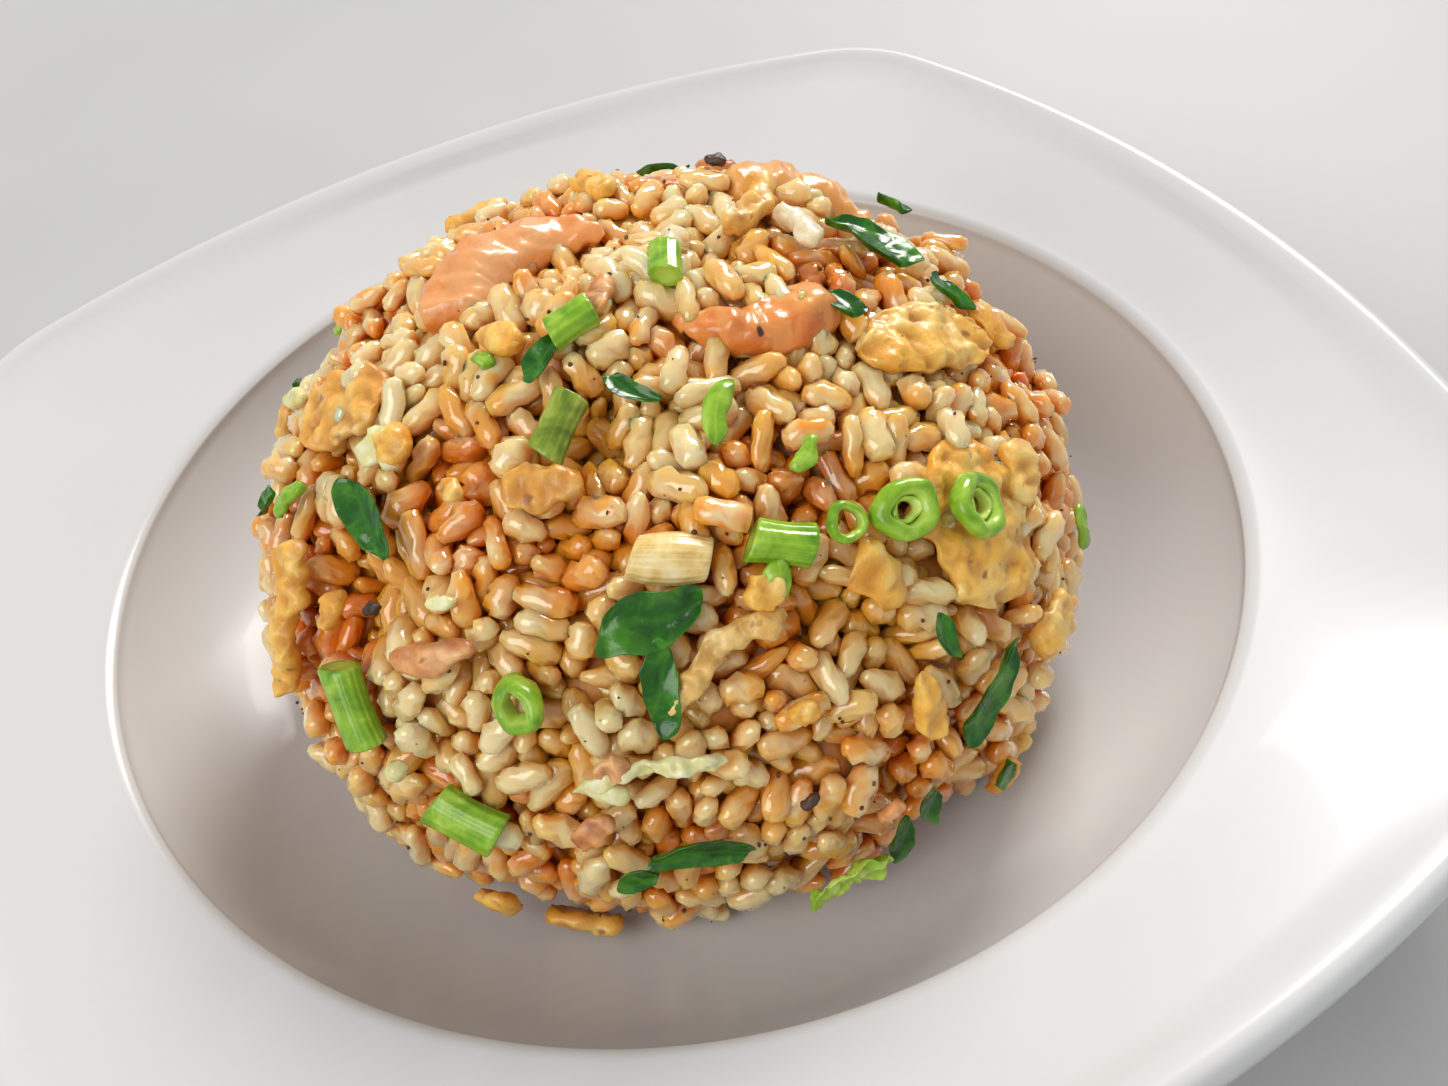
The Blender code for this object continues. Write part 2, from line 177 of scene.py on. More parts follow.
GREEN_BITS = (
    (266, 39, 60, 4, 3, 1.4, 1.6),
    (196, 66, 10, 3, 2, 1.2, 1.0),
    (177, 34, 80, 7, 3, 1.4, 0.9),
    (318, 12, 70, 6, 4, 1.2, 0.2),
    (280, 50, 10, 5, 2, 1.2, 1.2),
    (270, 59, 42, 8, 3.0, 1.2, 1.4),
    (40, 40, 10, 6, 4, 1.4, 0.2),
    (86, 24, 60, 7, 4, 1.4, 0.3),
    (128, 30, -20, 6, 4, 1.4, 0.3),
)
LEAF_BITS = (
    (172, 30, 80, 4, 2.2, 0.7, 1.3),
    (250, 65, -38, 6.4, 2.2, 0.7, 1.5),
    (248, 31, 60, 7, 5.4, 0.7, 1.1),
    (284, 24, 80, 5, 2.2, 0.7, 1.3),
    (242, 7, 10, 4.4, 2.6, 0.7, 1.3),
    (272, 1, 50, 5, 4.6, 0.7, 1.0),
    (276, 4, 70, 5, 3.6, 0.7, 1.2),
    (288, -2, 60, 4, 3, 0.7, 1.2),
    (10, 40, 10, 4, 2.4, 0.7, 1.2),
    (336, 44, 30, 4.4, 3.6, 0.7, 1.2),
    (318, 59, 60, 4.4, 3.6, 0.7, 1.2),
    (216, 70, 80, 6, 3, 0.7, 1.2),
    (140, 24, 40, 7, 3.6, 0.7, 0.7),
    (62, 34, -30, 7, 4, 0.7, 0.7),
    (110, 14, 20, 6, 4, 0.7, 0.6),
)
PALE_BITS = (
    (217, 38, 10, 3.6, 1.6, 1.2, 1.4),
    (213, 16, 0, 2.4, 2.2, 1.8, 1.2),
    (240, 19, -10, 5, 3, 1.6, 1.2),
    (155, 36, 60, 6, 3, 1.4, 1.0),
)
RED_BITS = (
    (238, 14, 60, 5, 3.6, 2.0, 1.3),
    (241, 22, 20, 4, 3, 1.8, 1.3),
    (271, 7, 10, 3.4, 2.2, 1.6, 1.3),
    (217, 32, 8, 11, 3.4, 2.0, 1.2),
    (231, 82, 80, 6, 3, 1.6, 1.0),
    (52, 34, 30, 6, 4, 2.0, 1.2),
)
# azimuth, elevation, heading, length, diameter, lift, ridges, waist
SMALL_STALKS = ((220, 76, 60, 5.6, 4.2, 1.4, 11, 0.08), (316, 83, 20, 5.4, 3.6, 1.2, 11, 0.05))
# azimuth, elevation, outer diameter, wall, height, tilt, lift
SMALL_HOOPS = ((230, 29, 6.4, 1.9, 3.2, 24, 1.6), (279, 41, 4.8, 1.1, 1.8, -12, 1.8))
DARK_BITS = (
    (42, 56, 20, 3, 2.2, 1.4, 1.6),
    (206, 34, 50, 2.2, 1.6, 1.2, 1.6),
    (262, 14, 20, 2.4, 1.5, 1.2, 1.6),
)
SPECK_COUNT = 240


# --- making meshes ---


def grain_of_noise(points, size, shift=0.0):
    """Smooth noise between about -1 and 1 at each point."""
    offset = Vector((shift, 1.7 * shift, -0.6 * shift))
    return np.array([noise.noise(Vector(point) / size + offset) for point in points])


def new_piece(name, points, faces, material, marks=None):
    """A mesh object from points in mm, its faces turned outwards, with named numbers on its points."""
    mesh = bpy.data.meshes.new(name)
    mesh.from_pydata((np.asarray(points) * MM).tolist(), [], faces)
    body = bmesh.new()
    body.from_mesh(mesh)
    bmesh.ops.recalc_face_normals(body, faces=body.faces)
    body.to_mesh(mesh)
    body.free()
    mesh.shade_smooth()
    for mark, values in (marks or {}).items():
        layer = mesh.attributes.new(mark, "FLOAT", "POINT")
        layer.data.foreach_set("value", np.asarray(values, np.float32))
    mesh.materials.append(material)
    piece = bpy.data.objects.new(name, mesh)
    bpy.context.scene.collection.objects.link(piece)
    return piece


def skin(rings, first_tip, last_tip):
    """Points and faces of a closed body lofted through rings, with a point at each end."""
    rings = np.asarray(rings)
    rows, sides, _ = rings.shape
    points = np.vstack([rings.reshape(-1, 3), [first_tip], [last_tip]])
    faces = []
    for row in range(rows - 1):
        for i in range(sides):
            j = (i + 1) % sides
            here, after = row * sides, (row + 1) * sides
            faces.append((here + i, here + j, after + j, after + i))
    first, last, end = rows * sides, rows * sides + 1, (rows - 1) * sides
    for i in range(sides):
        j = (i + 1) % sides
        faces.append((first, j, i))
        faces.append((last, end + i, end + j))
    return points, faces


def hoop_skin(rings):
    """Points and faces of a ring-shaped body lofted through rings and back to the first."""
    rings = np.asarray(rings)
    rows, sides, _ = rings.shape
    faces = []
    for row in range(rows):
        here, after = row * sides, (row + 1) % rows * sides
        for i in range(sides):
            j = (i + 1) % sides
            faces.append((here + i, here + j, after + j, after + i))
    return rings.reshape(-1, 3), faces


def joined(parts):
    """Several (points, faces, marks) as one."""
    points, faces, marks, start = [], [], {}, 0
    for part_points, part_faces, part_marks in parts:
        points.append(part_points)
        faces += [tuple(index + start for index in face) for face in part_faces]
        for mark, values in part_marks.items():
            marks.setdefault(mark, []).append(values)
        start += len(part_points)
    return np.vstack(points), faces, {mark: np.concatenate(values) for mark, values in marks.items()}


# --- materials ---


class Finish:
    """A material's node tree, with short ways to add its usual nodes."""

    def __init__(self, name):
        self.material = bpy.data.materials.new(name)
        self.material.use_nodes = True
        self.tree = self.material.node_tree
        self.shader = self.tree.nodes["Principled BSDF"]
        self.place = self.tree.nodes.new("ShaderNodeTexCoord").outputs["Object"]

    def set(self, **values):
        for name, value in values.items():
            self.shader.inputs[name.replace("_", " ")].default_value = value

    def link(self, source, target):
        self.tree.links.new(source, target)

    def noise(self, size, detail=3.0, roughness=0.55, distortion=0.0):
        """Noise whose lumps are about size mm across."""
        node = self.tree.nodes.new("ShaderNodeTexNoise")
        node.inputs["Scale"].default_value = 0.5 / (size * MM)
        node.inputs["Detail"].default_value = detail
        node.inputs["Roughness"].default_value = roughness
        node.inputs["Distortion"].default_value = distortion
        self.link(self.place, node.inputs["Vector"])
        return node.outputs["Fac"]

    def mark(self, name):
        node = self.tree.nodes.new("ShaderNodeAttribute")
        node.attribute_name = name
        return node.outputs["Fac"]

    def ramp(self, source, stops):
        """Colours or shades at places from 0 to 1."""
        node = self.tree.nodes.new("ShaderNodeValToRGB")
        ramp = node.color_ramp
        for place, colour in stops[1:-1]:
            ramp.elements.new(place)
        for element, (place, colour) in zip(ramp.elements, stops):
            element.position = place
            element.color = (*colour, 1) if isinstance(colour, tuple) else (colour, colour, colour, 1)
        self.link(source, node.inputs["Fac"])
        return node.outputs["Color"]

    def blend(self, first, second, share):
        """Mixes two colours, each a socket or a colour, by a share that is a socket or a number."""
        node = self.tree.nodes.new("ShaderNodeMix")
        node.data_type = "RGBA"
        for value, name in ((first, 6), (second, 7)):
            if isinstance(value, tuple):
                node.inputs[name].default_value = (*value, 1)
            else:
                self.link(value, node.inputs[name])
        if isinstance(share, float):
            node.inputs[0].default_value = share
        else:
            self.link(share, node.inputs[0])
        return node.outputs[2]

    def math(self, operation, first, second=0.0):
        node = self.tree.nodes.new("ShaderNodeMath")
        node.operation = operation
        for value, socket in ((first, node.inputs[0]), (second, node.inputs[1])):
            if isinstance(value, (int, float)):
                socket.default_value = value
            else:
                self.link(value, socket)
        return node.outputs[0]

    def colour(self, source):
        self.link(source, self.shader.inputs["Base Color"])

    def roughness(self, source, low, high):
        node = self.tree.nodes.new("ShaderNodeMapRange")
        node.inputs["To Min"].default_value = low
        node.inputs["To Max"].default_value = high
        self.link(source, node.inputs["Value"])
        self.link(node.outputs["Result"], self.shader.inputs["Roughness"])

    def bump(self, height, depth, strength=1.0):
        """Relief of about depth mm."""
        node = self.tree.nodes.new("ShaderNodeBump")
        node.inputs["Distance"].default_value = depth * MM
        node.inputs["Strength"].default_value = strength
        self.link(height, node.inputs["Height"])
        self.link(node.outputs["Normal"], self.shader.inputs["Normal"])

    def soft(self, weight, scale, radius=(1.0, 0.5, 0.25)):
        """Light soaks in by about scale mm."""
        self.shader.inputs["Subsurface Weight"].default_value = weight
        self.shader.inputs["Subsurface Radius"].default_value = radius
        self.shader.inputs["Subsurface Scale"].default_value = scale * MM


def porcelain_glaze():
    finish = Finish("white_porcelain_glaze")
    cloud = finish.noise(34, detail=2)
    finish.colour(finish.ramp(cloud, ((0.3, (0.61, 0.605, 0.60)), (0.7, (0.635, 0.635, 0.635)))))
    finish.roughness(finish.noise(9, detail=2), 0.20, 0.28)
    finish.bump(finish.noise(16, detail=1), 0.10, 0.35)
    finish.set(Specular_IOR_Level=0.28, Coat_Weight=0.1, Coat_Roughness=0.05)
    return finish.material


# The pale, starchy patches that every tint of grain shares
CHALKY = (0.88, 0.69, 0.38)


def rice_finish(name, deep, middle, pale):
    """Oiled grain: its own tint, with painted shade where it faces inward and where it lies deep, chalky
    patches and tiny flecks.
    """
    finish = Finish(name)
    tint = finish.ramp(finish.mark("tint"), ((0.0, middle), (1.0, pale)))
    heart = finish.ramp(finish.noise(2.3, detail=2), ((0.44, 0.0), (0.62, 0.85)))
    body = finish.blend(tint, CHALKY, heart)
    # Painted shade: each grain darkens towards the deep colour on its sides and underside and where it lies
    # deep in the mound, broken up by noise.
    cloud = finish.math("MULTIPLY_ADD", finish.noise(2.4, detail=3), 0.5)
    painted_shade = finish.math("ADD", finish.mark("painted_shade"), finish.math("SUBTRACT", cloud, 0.70))
    body = finish.blend(body, deep, finish.ramp(painted_shade, ((0.12, 0.0), (0.90, 1.0))))
    fleck = finish.ramp(finish.noise(0.42, detail=1), ((0.775, 0.0), (0.81, 0.75)))
    finish.colour(finish.blend(body, (0.30, 0.12, 0.03), fleck))
    finish.roughness(finish.noise(1.1, detail=2), 0.05, 0.14)
    finish.bump(finish.noise(1.1, detail=3), 0.26, 0.8)
    finish.soft(1.0, 2.8, (1.0, 0.55, 0.20))
    finish.set(Specular_IOR_Level=0.65, Coat_Weight=0.8, Coat_Roughness=0.03)
    return finish.material


def core_finish():
    finish = Finish("rice_core_painted_shade")
    # Painted shade: the core is dark brown so that the gaps between the outer grains look shaded.
    shade = finish.noise(3.5, detail=4)
    stops = ((0.3, (0.16, 0.045, 0.006)), (0.5, (0.40, 0.14, 0.02)), (0.72, (0.62, 0.28, 0.06)))
    finish.colour(finish.ramp(shade, stops))
    finish.roughness(shade, 0.30, 0.55)
    finish.bump(finish.noise(1.6, detail=3), 0.5)
    return finish.material


def shrimp_finish(name, flesh, band, char=0.0):
    """Peeled cooked shrimp: pale flesh, orange segment bands that are strongest along the back, fine fibres."""
    finish = Finish(name)
    along, back = finish.mark("along"), finish.mark("back")
    wobble = finish.math("MULTIPLY", finish.noise(3.6, detail=3), 0.42)
    wave = finish.math("SINE", finish.math("MULTIPLY", finish.math("ADD", along, wobble), 4.3 * TAU))
    stripe = finish.ramp(finish.math("MULTIPLY_ADD", wave, 0.5), ((0.1, 0.0), (0.45, 1.0)))
    mottle = finish.ramp(finish.noise(1.8, detail=4, distortion=0.8), ((0.38, 0.15), (0.62, 1.0)))
    share = finish.math("MULTIPLY", stripe, mottle)
    share = finish.math("MULTIPLY", share, finish.ramp(back, ((0.15, 0.25), (0.75, 1.0))))
    body = finish.blend(flesh, band, share)
    blush = finish.ramp(finish.noise(6.0, detail=2), ((0.40, 0.0), (0.70, 0.75)))
    body = finish.blend(body, tuple(part**0.8 for part in band), blush)
    if char:
        burnt = finish.ramp(finish.noise(2.4, detail=2), ((1 - char, 0.0), (1.03 - char, 1.0)))
        body = finish.blend(body, (0.045, 0.018, 0.010), burnt)
    finish.colour(body)
    finish.roughness(finish.noise(1.2, detail=2), 0.20, 0.38)
    finish.bump(finish.noise(1.3, detail=4), 0.34, 0.9)
    finish.soft(0.30, 1.6, (1.0, 0.42, 0.22))
    finish.set(Specular_IOR_Level=0.6, Coat_Weight=0.4, Coat_Roughness=0.12)
    return finish.material


def egg_finish(name, deep, golden, pale):
    """Fried egg sheet: golden, with painted shade in the hollows between its raised folds, and a few toasted
    spots.
    """
    finish = Finish(name)
    cloud = finish.noise(3.4, detail=4, distortion=0.6)
    body = finish.ramp(cloud, ((0.30, deep), (0.50, golden), (0.70, pale)))
    # Painted shade: darker where the crumpled sheet dips, as the fold mark falls.
    fold = finish.ramp(finish.mark("fold"), ((0.25, 0.85), (0.60, 0.0)))
    body = finish.blend(body, tuple(0.75 * part for part in deep), fold)
    spot = finish.ramp(finish.noise(1.3, detail=2), ((0.66, 0.0), (0.74, 0.9)))
    finish.colour(finish.blend(body, (0.34, 0.12, 0.025), spot))
    finish.roughness(finish.noise(1.0, detail=3), 0.26, 0.50)
    finish.bump(finish.noise(0.75, detail=4, roughness=0.65), 0.30, 0.8)
    finish.soft(0.22, 1.2)
    finish.set(Specular_IOR_Level=0.55, Coat_Weight=0.25, Coat_Roughness=0.18)
    return finish.material


def green_finish(name, deep, middle, pale, veins=0.0):
    """Cooked greens: streaks along the piece, a paler edge or cut end, and an oily gloss."""
    finish = Finish(name)
    streak = finish.noise(1.5, detail=3, distortion=0.5)
    body = finish.ramp(streak, ((0.28, deep), (0.52, middle), (0.78, pale)))
    rim = finish.ramp(finish.mark("fold"), ((0.55, 0.0), (0.95, 0.65)))
    body = finish.blend(body, pale, rim)
    if veins:
        lines = finish.ramp(finish.mark("around"), ((0.40, 0.0), (0.5, veins), (0.60, 0.0)))
        body = finish.blend(body, pale, lines)
    finish.colour(body)
    finish.roughness(finish.noise(1.2), 0.12, 0.26)
    finish.bump(finish.noise(0.6, detail=3), 0.16, 0.6)
    finish.soft(0.10, 0.8, (0.6, 1.0, 0.3))
    finish.set(Specular_IOR_Level=0.4, Coat_Weight=0.15, Coat_Roughness=0.06)
    return finish.material


def speck_finish(name, dark, light):
    finish = Finish(name)
    finish.colour(finish.ramp(finish.noise(0.8, detail=2), ((0.35, dark), (0.65, light))))
    finish.roughness(finish.noise(0.5), 0.35, 0.6)
    finish.bump(finish.noise(0.4), 0.08)
    return finish.material


# --- plate ---


def corner_offset():
    """The corner arc's centre lies at this X and Y, where the arc meets both side arcs smoothly."""
    shift = HALF_WIDTH - SIDE_RADIUS
    spare = SIDE_RADIUS - CORNER_RADIUS
    return (shift + math.sqrt(2 * spare**2 - shift**2)) / 2


def rim_reach(azimuth):
    """Distance from the centre to the soft-square outline, for azimuths in radians."""
    beta = np.abs((azimuth + math.pi / 4) % (math.pi / 2) - math.pi / 4)
    shift = HALF_WIDTH - SIDE_RADIUS
    centre = corner_offset()
    turn = math.atan2(centre, centre - shift)
    joint = math.atan2(SIDE_RADIUS * math.sin(turn), shift + SIDE_RADIUS * math.cos(turn))
    side = shift * np.cos(beta) + np.sqrt(SIDE_RADIUS**2 - (shift * np.sin(beta)) ** 2)
    along = centre * (np.cos(beta) + np.sin(beta))
    aside = centre * (np.cos(beta) - np.sin(beta))
    corner = along + np.sqrt(np.maximum(CORNER_RADIUS**2 - aside**2, 0))
    return np.where(beta <= joint, side, corner)


def well_profile():
    """Rings (share, inset, radius, height) from the floor's flat up the wall and over the crest."""
    profile = [(0, 0, FLOOR_RADIUS * share, FLOOR_HEIGHT) for share in (0.05, 0.2, 0.4, 0.6, 0.8, 0.92)]
    for t in np.radians(np.linspace(1, 70, 26)):
        radius = FLOOR_RADIUS + WALL_REACH * math.sin(t)
        profile.append((0, 0, radius, FLOOR_HEIGHT + WALL_RISE * (1 - math.cos(t))))
    first, last = math.radians(52), math.radians(8)
    for t in np.linspace(first, last, 9):
        outward = CREST_RADIUS * (math.sin(t) - math.sin(last))
        down = CREST_RADIUS * (math.cos(last) - math.cos(t))
        profile.append((0, 0, WELL_RADIUS - outward, EDGE_HEIGHT - down))
    return profile


def rim_profile():
    """Rings over the rim, round the rolled lip and back under it."""
    top = EDGE_HEIGHT + RIM_RISE
    shares = np.linspace(0.03, 0.72, 10)
    profile = [(share, 0, WELL_RADIUS, EDGE_HEIGHT + RIM_RISE * share**1.15) for share in shares]
    for inset, drop in LIP_SECTION:
        profile.append((1, inset, WELL_RADIUS, top - drop))
    profile.append((0.5, 0, WELL_RADIUS, EDGE_HEIGHT - 2.4))
    return profile


def underside_profile():
    """Rings from under the crest in to the recess of the foot."""
    profile = [
        (WELL_RADIUS + 1.5, EDGE_HEIGHT - 5.8),
        (WELL_RADIUS - 1.6, EDGE_HEIGHT - 10.2),
        (WELL_RADIUS - 5.5, FLOOR_HEIGHT + 5.0),
        (WELL_RADIUS - 10.2, FLOOR_HEIGHT + 1.2),
        (WELL_RADIUS - 15.5, FLOOR_HEIGHT - 1.7),
        (FOOT_OUTER + 5.5, FLOOR_HEIGHT - 3.9),
        (FOOT_OUTER + 1.5, FLOOR_HEIGHT - 5.0),
        (FOOT_OUTER + 0.4, 1.6),
        (FOOT_OUTER, 0.35),
        (FOOT_OUTER - 0.5, 0.0),
        (FOOT_INNER + 0.5, 0.0),
        (FOOT_INNER, 0.3),
        (FOOT_INNER - 1.4, FOOT_RECESS - 0.3),
        (FOOT_INNER - 3.0, FOOT_RECESS),
        (FOOT_INNER * 0.5, FOOT_RECESS),
    ]
    return [(0, 0, radius, height) for radius, height in profile]


def make_plate():
    azimuths = TAU * np.arange(PLATE_SEGMENTS) / PLATE_SEGMENTS
    azimuths = azimuths + 0.42 * np.sin(4 * azimuths) / 4
    rings = []
    for share, inset, radius, height in well_profile() + rim_profile() + underside_profile():
        reach = radius + share * (rim_reach(azimuths) - inset - radius)
        level = np.full_like(reach, height)
        rings.append(np.stack([reach * np.cos(azimuths), reach * np.sin(azimuths), level], 1))
    points, faces = skin(rings, (0, 0, FLOOR_HEIGHT), (0, 0, FOOT_RECESS))
    plate = new_piece("porcelain_plate", points, faces, porcelain_glaze())
    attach(plate, "root")
    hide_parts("plate")


def well_height(radius):
    """Height of the well's floor and wall at a distance from the centre."""
    share = np.clip((radius - FLOOR_RADIUS) / WALL_REACH, 0, 0.999)
    return FLOOR_HEIGHT + WALL_RISE * (1 - np.sqrt(1 - share**2))


# --- mound ---


def direction(azimuth, elevation):
    turn, rise = np.radians(azimuth), np.radians(elevation)
    return np.stack([np.cos(rise) * np.cos(turn), np.cos(rise) * np.sin(turn), np.sin(rise)], -1)


def mound_reach(aims):
    """Distance from MOUND_CENTRE to the mound's smooth outline in each direction."""
    level = np.hypot(aims[..., 0], aims[..., 1]) / MOUND_RADIUS
    steep = np.abs(aims[..., 2]) / np.where(aims[..., 2] > 0, MOUND_UP, MOUND_DOWN)
    return (level**MOUND_POWER + steep**MOUND_POWER) ** (-1 / MOUND_POWER)


def unevenness(aims):
    """How far clumps stand out from the smooth outline, or fall back into a hollow."""
    spots = aims * mound_reach(aims)[:, None]
    lift = 2.2 * grain_of_noise(spots, 24.0) + 4.4 * grain_of_noise(spots, 9.0, 5.0)
    for azimuth, elevation, depth, width in HOLLOWS:
        middle = direction(azimuth, elevation)
        away = np.linalg.norm(spots - middle * mound_reach(middle), axis=1) / width
        lift -= depth * np.exp(-(away**2))
    return lift


def make_core():
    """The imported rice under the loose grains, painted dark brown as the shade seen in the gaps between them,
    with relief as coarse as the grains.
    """
    lowest = math.degrees(math.atan2(MOUND_BASE - MOUND_CENTRE[2], MOUND_RADIUS * 0.84))
    rings = []
    for elevation in np.linspace(88.5, lowest, 64):
        aims = direction(np.linspace(0, 360, 160, endpoint=False), np.full(160, elevation))
        reach = mound_reach(aims) + unevenness(aims) - CORE_DEPTH
        reach += 1.5 * grain_of_noise(aims * 50, 5.5, 3.0)
        ring = MOUND_CENTRE + aims * reach[:, None]
        ring[:, 2] = np.maximum(ring[:, 2], MOUND_BASE)
        rings.append(ring)
    top = MOUND_CENTRE + np.array([0, 0, MOUND_UP - CORE_DEPTH])
    points, faces = skin(rings, top, (MOUND_CENTRE[0], MOUND_CENTRE[1], MOUND_BASE))
    core = new_piece("rice_core", points, faces, core_finish())
    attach(core, "root")
    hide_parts("rice_mound")


def on_mound(azimuth, elevation, heading=0):
    """A function that lays points, given in mm along, across and above a piece, over the mound's curve."""
    out = direction(azimuth, elevation)
    east = np.array([-math.sin(math.radians(azimuth)), math.cos(math.radians(azimuth)), 0])
    uphill = np.cross(out, east)
    turn = math.radians(heading)
    along = east * math.cos(turn) + uphill * math.sin(turn)
    across = uphill * math.cos(turn) - east * math.sin(turn)
    middle = out * mound_reach(out)

    def lay(points):
        aims = middle + points[..., 0:1] * along + points[..., 1:2] * across
        aims = aims / np.linalg.norm(aims, axis=-1, keepdims=True)
        return MOUND_CENTRE + aims * (mound_reach(aims)[..., None] + points[..., 2:3])

    return lay


# --- toppings ---


def strand(
    lay, spine, left, right, high, low,
    sides=24, squareness=1.0, crumple=0.0, size=3.0, fold=0.0, seed=0.0, skew=0.0,
):
    """A draped body along a spine of points in mm.

    left, right, high and low are its half sizes at each point of the spine. squareness under 1 makes
    the section boxier. crumple waves the whole piece and fold lifts its long edges, both in mm. skew
    slants its ends.
    Returns points, faces and the marks along, around, back and fold.
    """
    spine = np.asarray(spine, float)
    forward = np.gradient(spine, axis=0)
    forward /= np.linalg.norm(forward, axis=1, keepdims=True)
    aside = np.stack([-forward[:, 1], forward[:, 0], np.zeros(len(spine))], 1)
    aside /= np.linalg.norm(aside, axis=1, keepdims=True)
    angles = TAU * np.arange(sides) / sides
    across = np.sign(np.cos(angles)) * np.abs(np.cos(angles)) ** squareness
    upward = np.sign(np.sin(angles)) * np.abs(np.sin(angles)) ** squareness
    wide = np.where(across > 0, np.asarray(left)[1:-1, None], np.asarray(right)[1:-1, None]) * across
    rise = np.where(upward > 0, np.asarray(high)[1:-1, None], np.asarray(low)[1:-1, None]) * upward
    rings = spine[1:-1, None, :] + aside[1:-1, None, :] * wide[..., None]
    rings[..., 2] += rise + fold * (across**2)[None, :]
    rings[..., 0] += skew * wide
    wave = crumple * grain_of_noise(rings.reshape(-1, 3), size, seed).reshape(rings.shape[:2])
    fine = 0.45 * crumple * grain_of_noise(rings.reshape(-1, 3), size / 2.6, seed + 9).reshape(rings.shape[:2])
    rings[..., 2] += wave + fine
    tips = lay(spine[[0, -1]])
    points, faces = skin(lay(rings), tips[0], tips[1])
    along = np.repeat(np.linspace(0, 1, len(spine))[1:-1], sides)
    marks = {
        "along": np.append(along, [0, 1]),
        "around": np.append(np.tile(across / 2 + 0.5, len(spine) - 2), [0.5, 0.5]),
        "back": np.append(np.tile(across / 2 + 0.5, len(spine) - 2), [0.5, 0.5]),
        "fold": np.append((0.5 + (wave + fine) / (2.2 * crumple + 0.01)).ravel(), [0.5, 0.5]),
    }
    return points, faces, marks


def ragged(steps, seed, amount, size=0.16):
    """A row of factors about 1, for an edge torn by hand."""
    return np.array([1 + amount * noise.noise(Vector((k / steps / size, seed, 0.3))) for k in range(steps)])


def shrimp_body(lay, length, width, curl, lift, seed):
    """A curled, peeled tail: thick at the head end, stepped at each segment, thin at the tail."""
    steps = 78
    share = np.linspace(0, 1, steps)
    turn = math.radians(curl) * (share - 0.5)
    bend = length / math.radians(curl)
    spine = np.stack([bend * np.sin(turn), bend * (np.cos(turn) - 0.75), np.full(steps, lift)], 1)
    taper = np.sin(np.pi * np.minimum(share + 0.06, 1) ** 0.72).clip(0) ** 0.45 * (1.08 - 0.42 * share)
    step = (share * 4.3 + 0.2) % 1.0
    ridge = 1 + 0.07 * (step**1.4 - 0.5) - 0.05 * np.exp(-((np.minimum(step, 1 - step) / 0.06) ** 2))
    back = width / 2 * taper * ridge
    belly = width / 2 * taper * (1 + 0.35 * (ridge - 1))
    high = width * 0.40 * taper * (1 + 0.4 * (ridge - 1))
    return strand(lay, spine, back, belly, high, high, 36, 0.92, 1.3, 4.5, seed=seed)


def egg_sheet_body(lay, length, width, thickness, lift, crumple, seed):
    """A torn sheet with lobed edges and fine wrinkles."""
    steps = max(30, int(length * 3))
    share = np.linspace(0, 1, steps)
    spine = np.stack([length * (share - 0.5), np.zeros(steps), np.full(steps, lift)], 1)
    round_off = np.sin(np.pi * share).clip(0) ** 0.42
    left = width / 2 * round_off * ragged(steps, seed, 0.50, 0.30) * ragged(steps, seed + 1, 0.18, 0.09)
    right = width / 2 * round_off * ragged(steps, seed + 4, 0.50, 0.30) * ragged(steps, seed + 5, 0.18, 0.09)
    half = thickness / 2 * np.minimum(1, 0.2 + 2.2 * np.sin(np.pi * share).clip(0))
    sides = max(32, int(width * 6) // 2 * 2)
    return strand(lay, spine, left, right, half, half, sides, 0.72, crumple * 1.15, 2.7, fold=0.25, seed=seed)


def egg_strip_body(lay, length, width, thickness, lift, bow, seed):
    """A torn ribbon, bowed sideways, knobbly, with a rough edge."""
    steps = max(30, int(length * 4))
    share = np.linspace(0, 1, steps)
    sideways = bow * length * (1 - (2 * share - 1) ** 2)
    spine = np.stack([length * (share - 0.5), sideways, np.full(steps, lift)], 1)
    spine[:, 2] += 0.45 * np.sin(13 * share + length)
    round_off = np.minimum(1, 3.5 * np.sin(np.pi * share).clip(0)) ** 0.5
    left = width / 2 * round_off * ragged(steps, seed, 0.7, 0.12)
    right = width / 2 * round_off * ragged(steps, seed + 4, 0.7, 0.12)
    half = thickness / 2 * round_off * ragged(steps, seed + 8, 0.4, 0.15)
    return strand(lay, spine, left, right, half, half, 28, 0.85, 0.75, 1.9, seed=seed)


def leaf_body(lay, length, width, thickness, lift, crumple, fold, seed, tear=0.35):
    """A cooked leaf: a thin blade with a folded middle, wavy edges and an uneven outline."""
    steps = 40
    share = np.linspace(0, 1, steps)
    sideways = 0.06 * length * np.sin(5 * share + seed)
    spine = np.stack([length * (share - 0.5), sideways, np.full(steps, lift)], 1)
    outline = np.sin(np.pi * share**0.85).clip(0) ** 0.30
    left = width / 2 * outline * ragged(steps, seed, tear, 0.35)
    right = width / 2 * outline * ragged(steps, seed + 4, tear, 0.35)
    half = np.full(steps, thickness / 2) * np.minimum(1, 0.3 + 2 * outline)
    size = 4.2 if tear < 0.5 else 1.8
    crumple = crumple * 1.1
    return strand(lay, spine, left, right, half, half, 36, 0.85, crumple, size, fold=fold, seed=seed, skew=0.8)


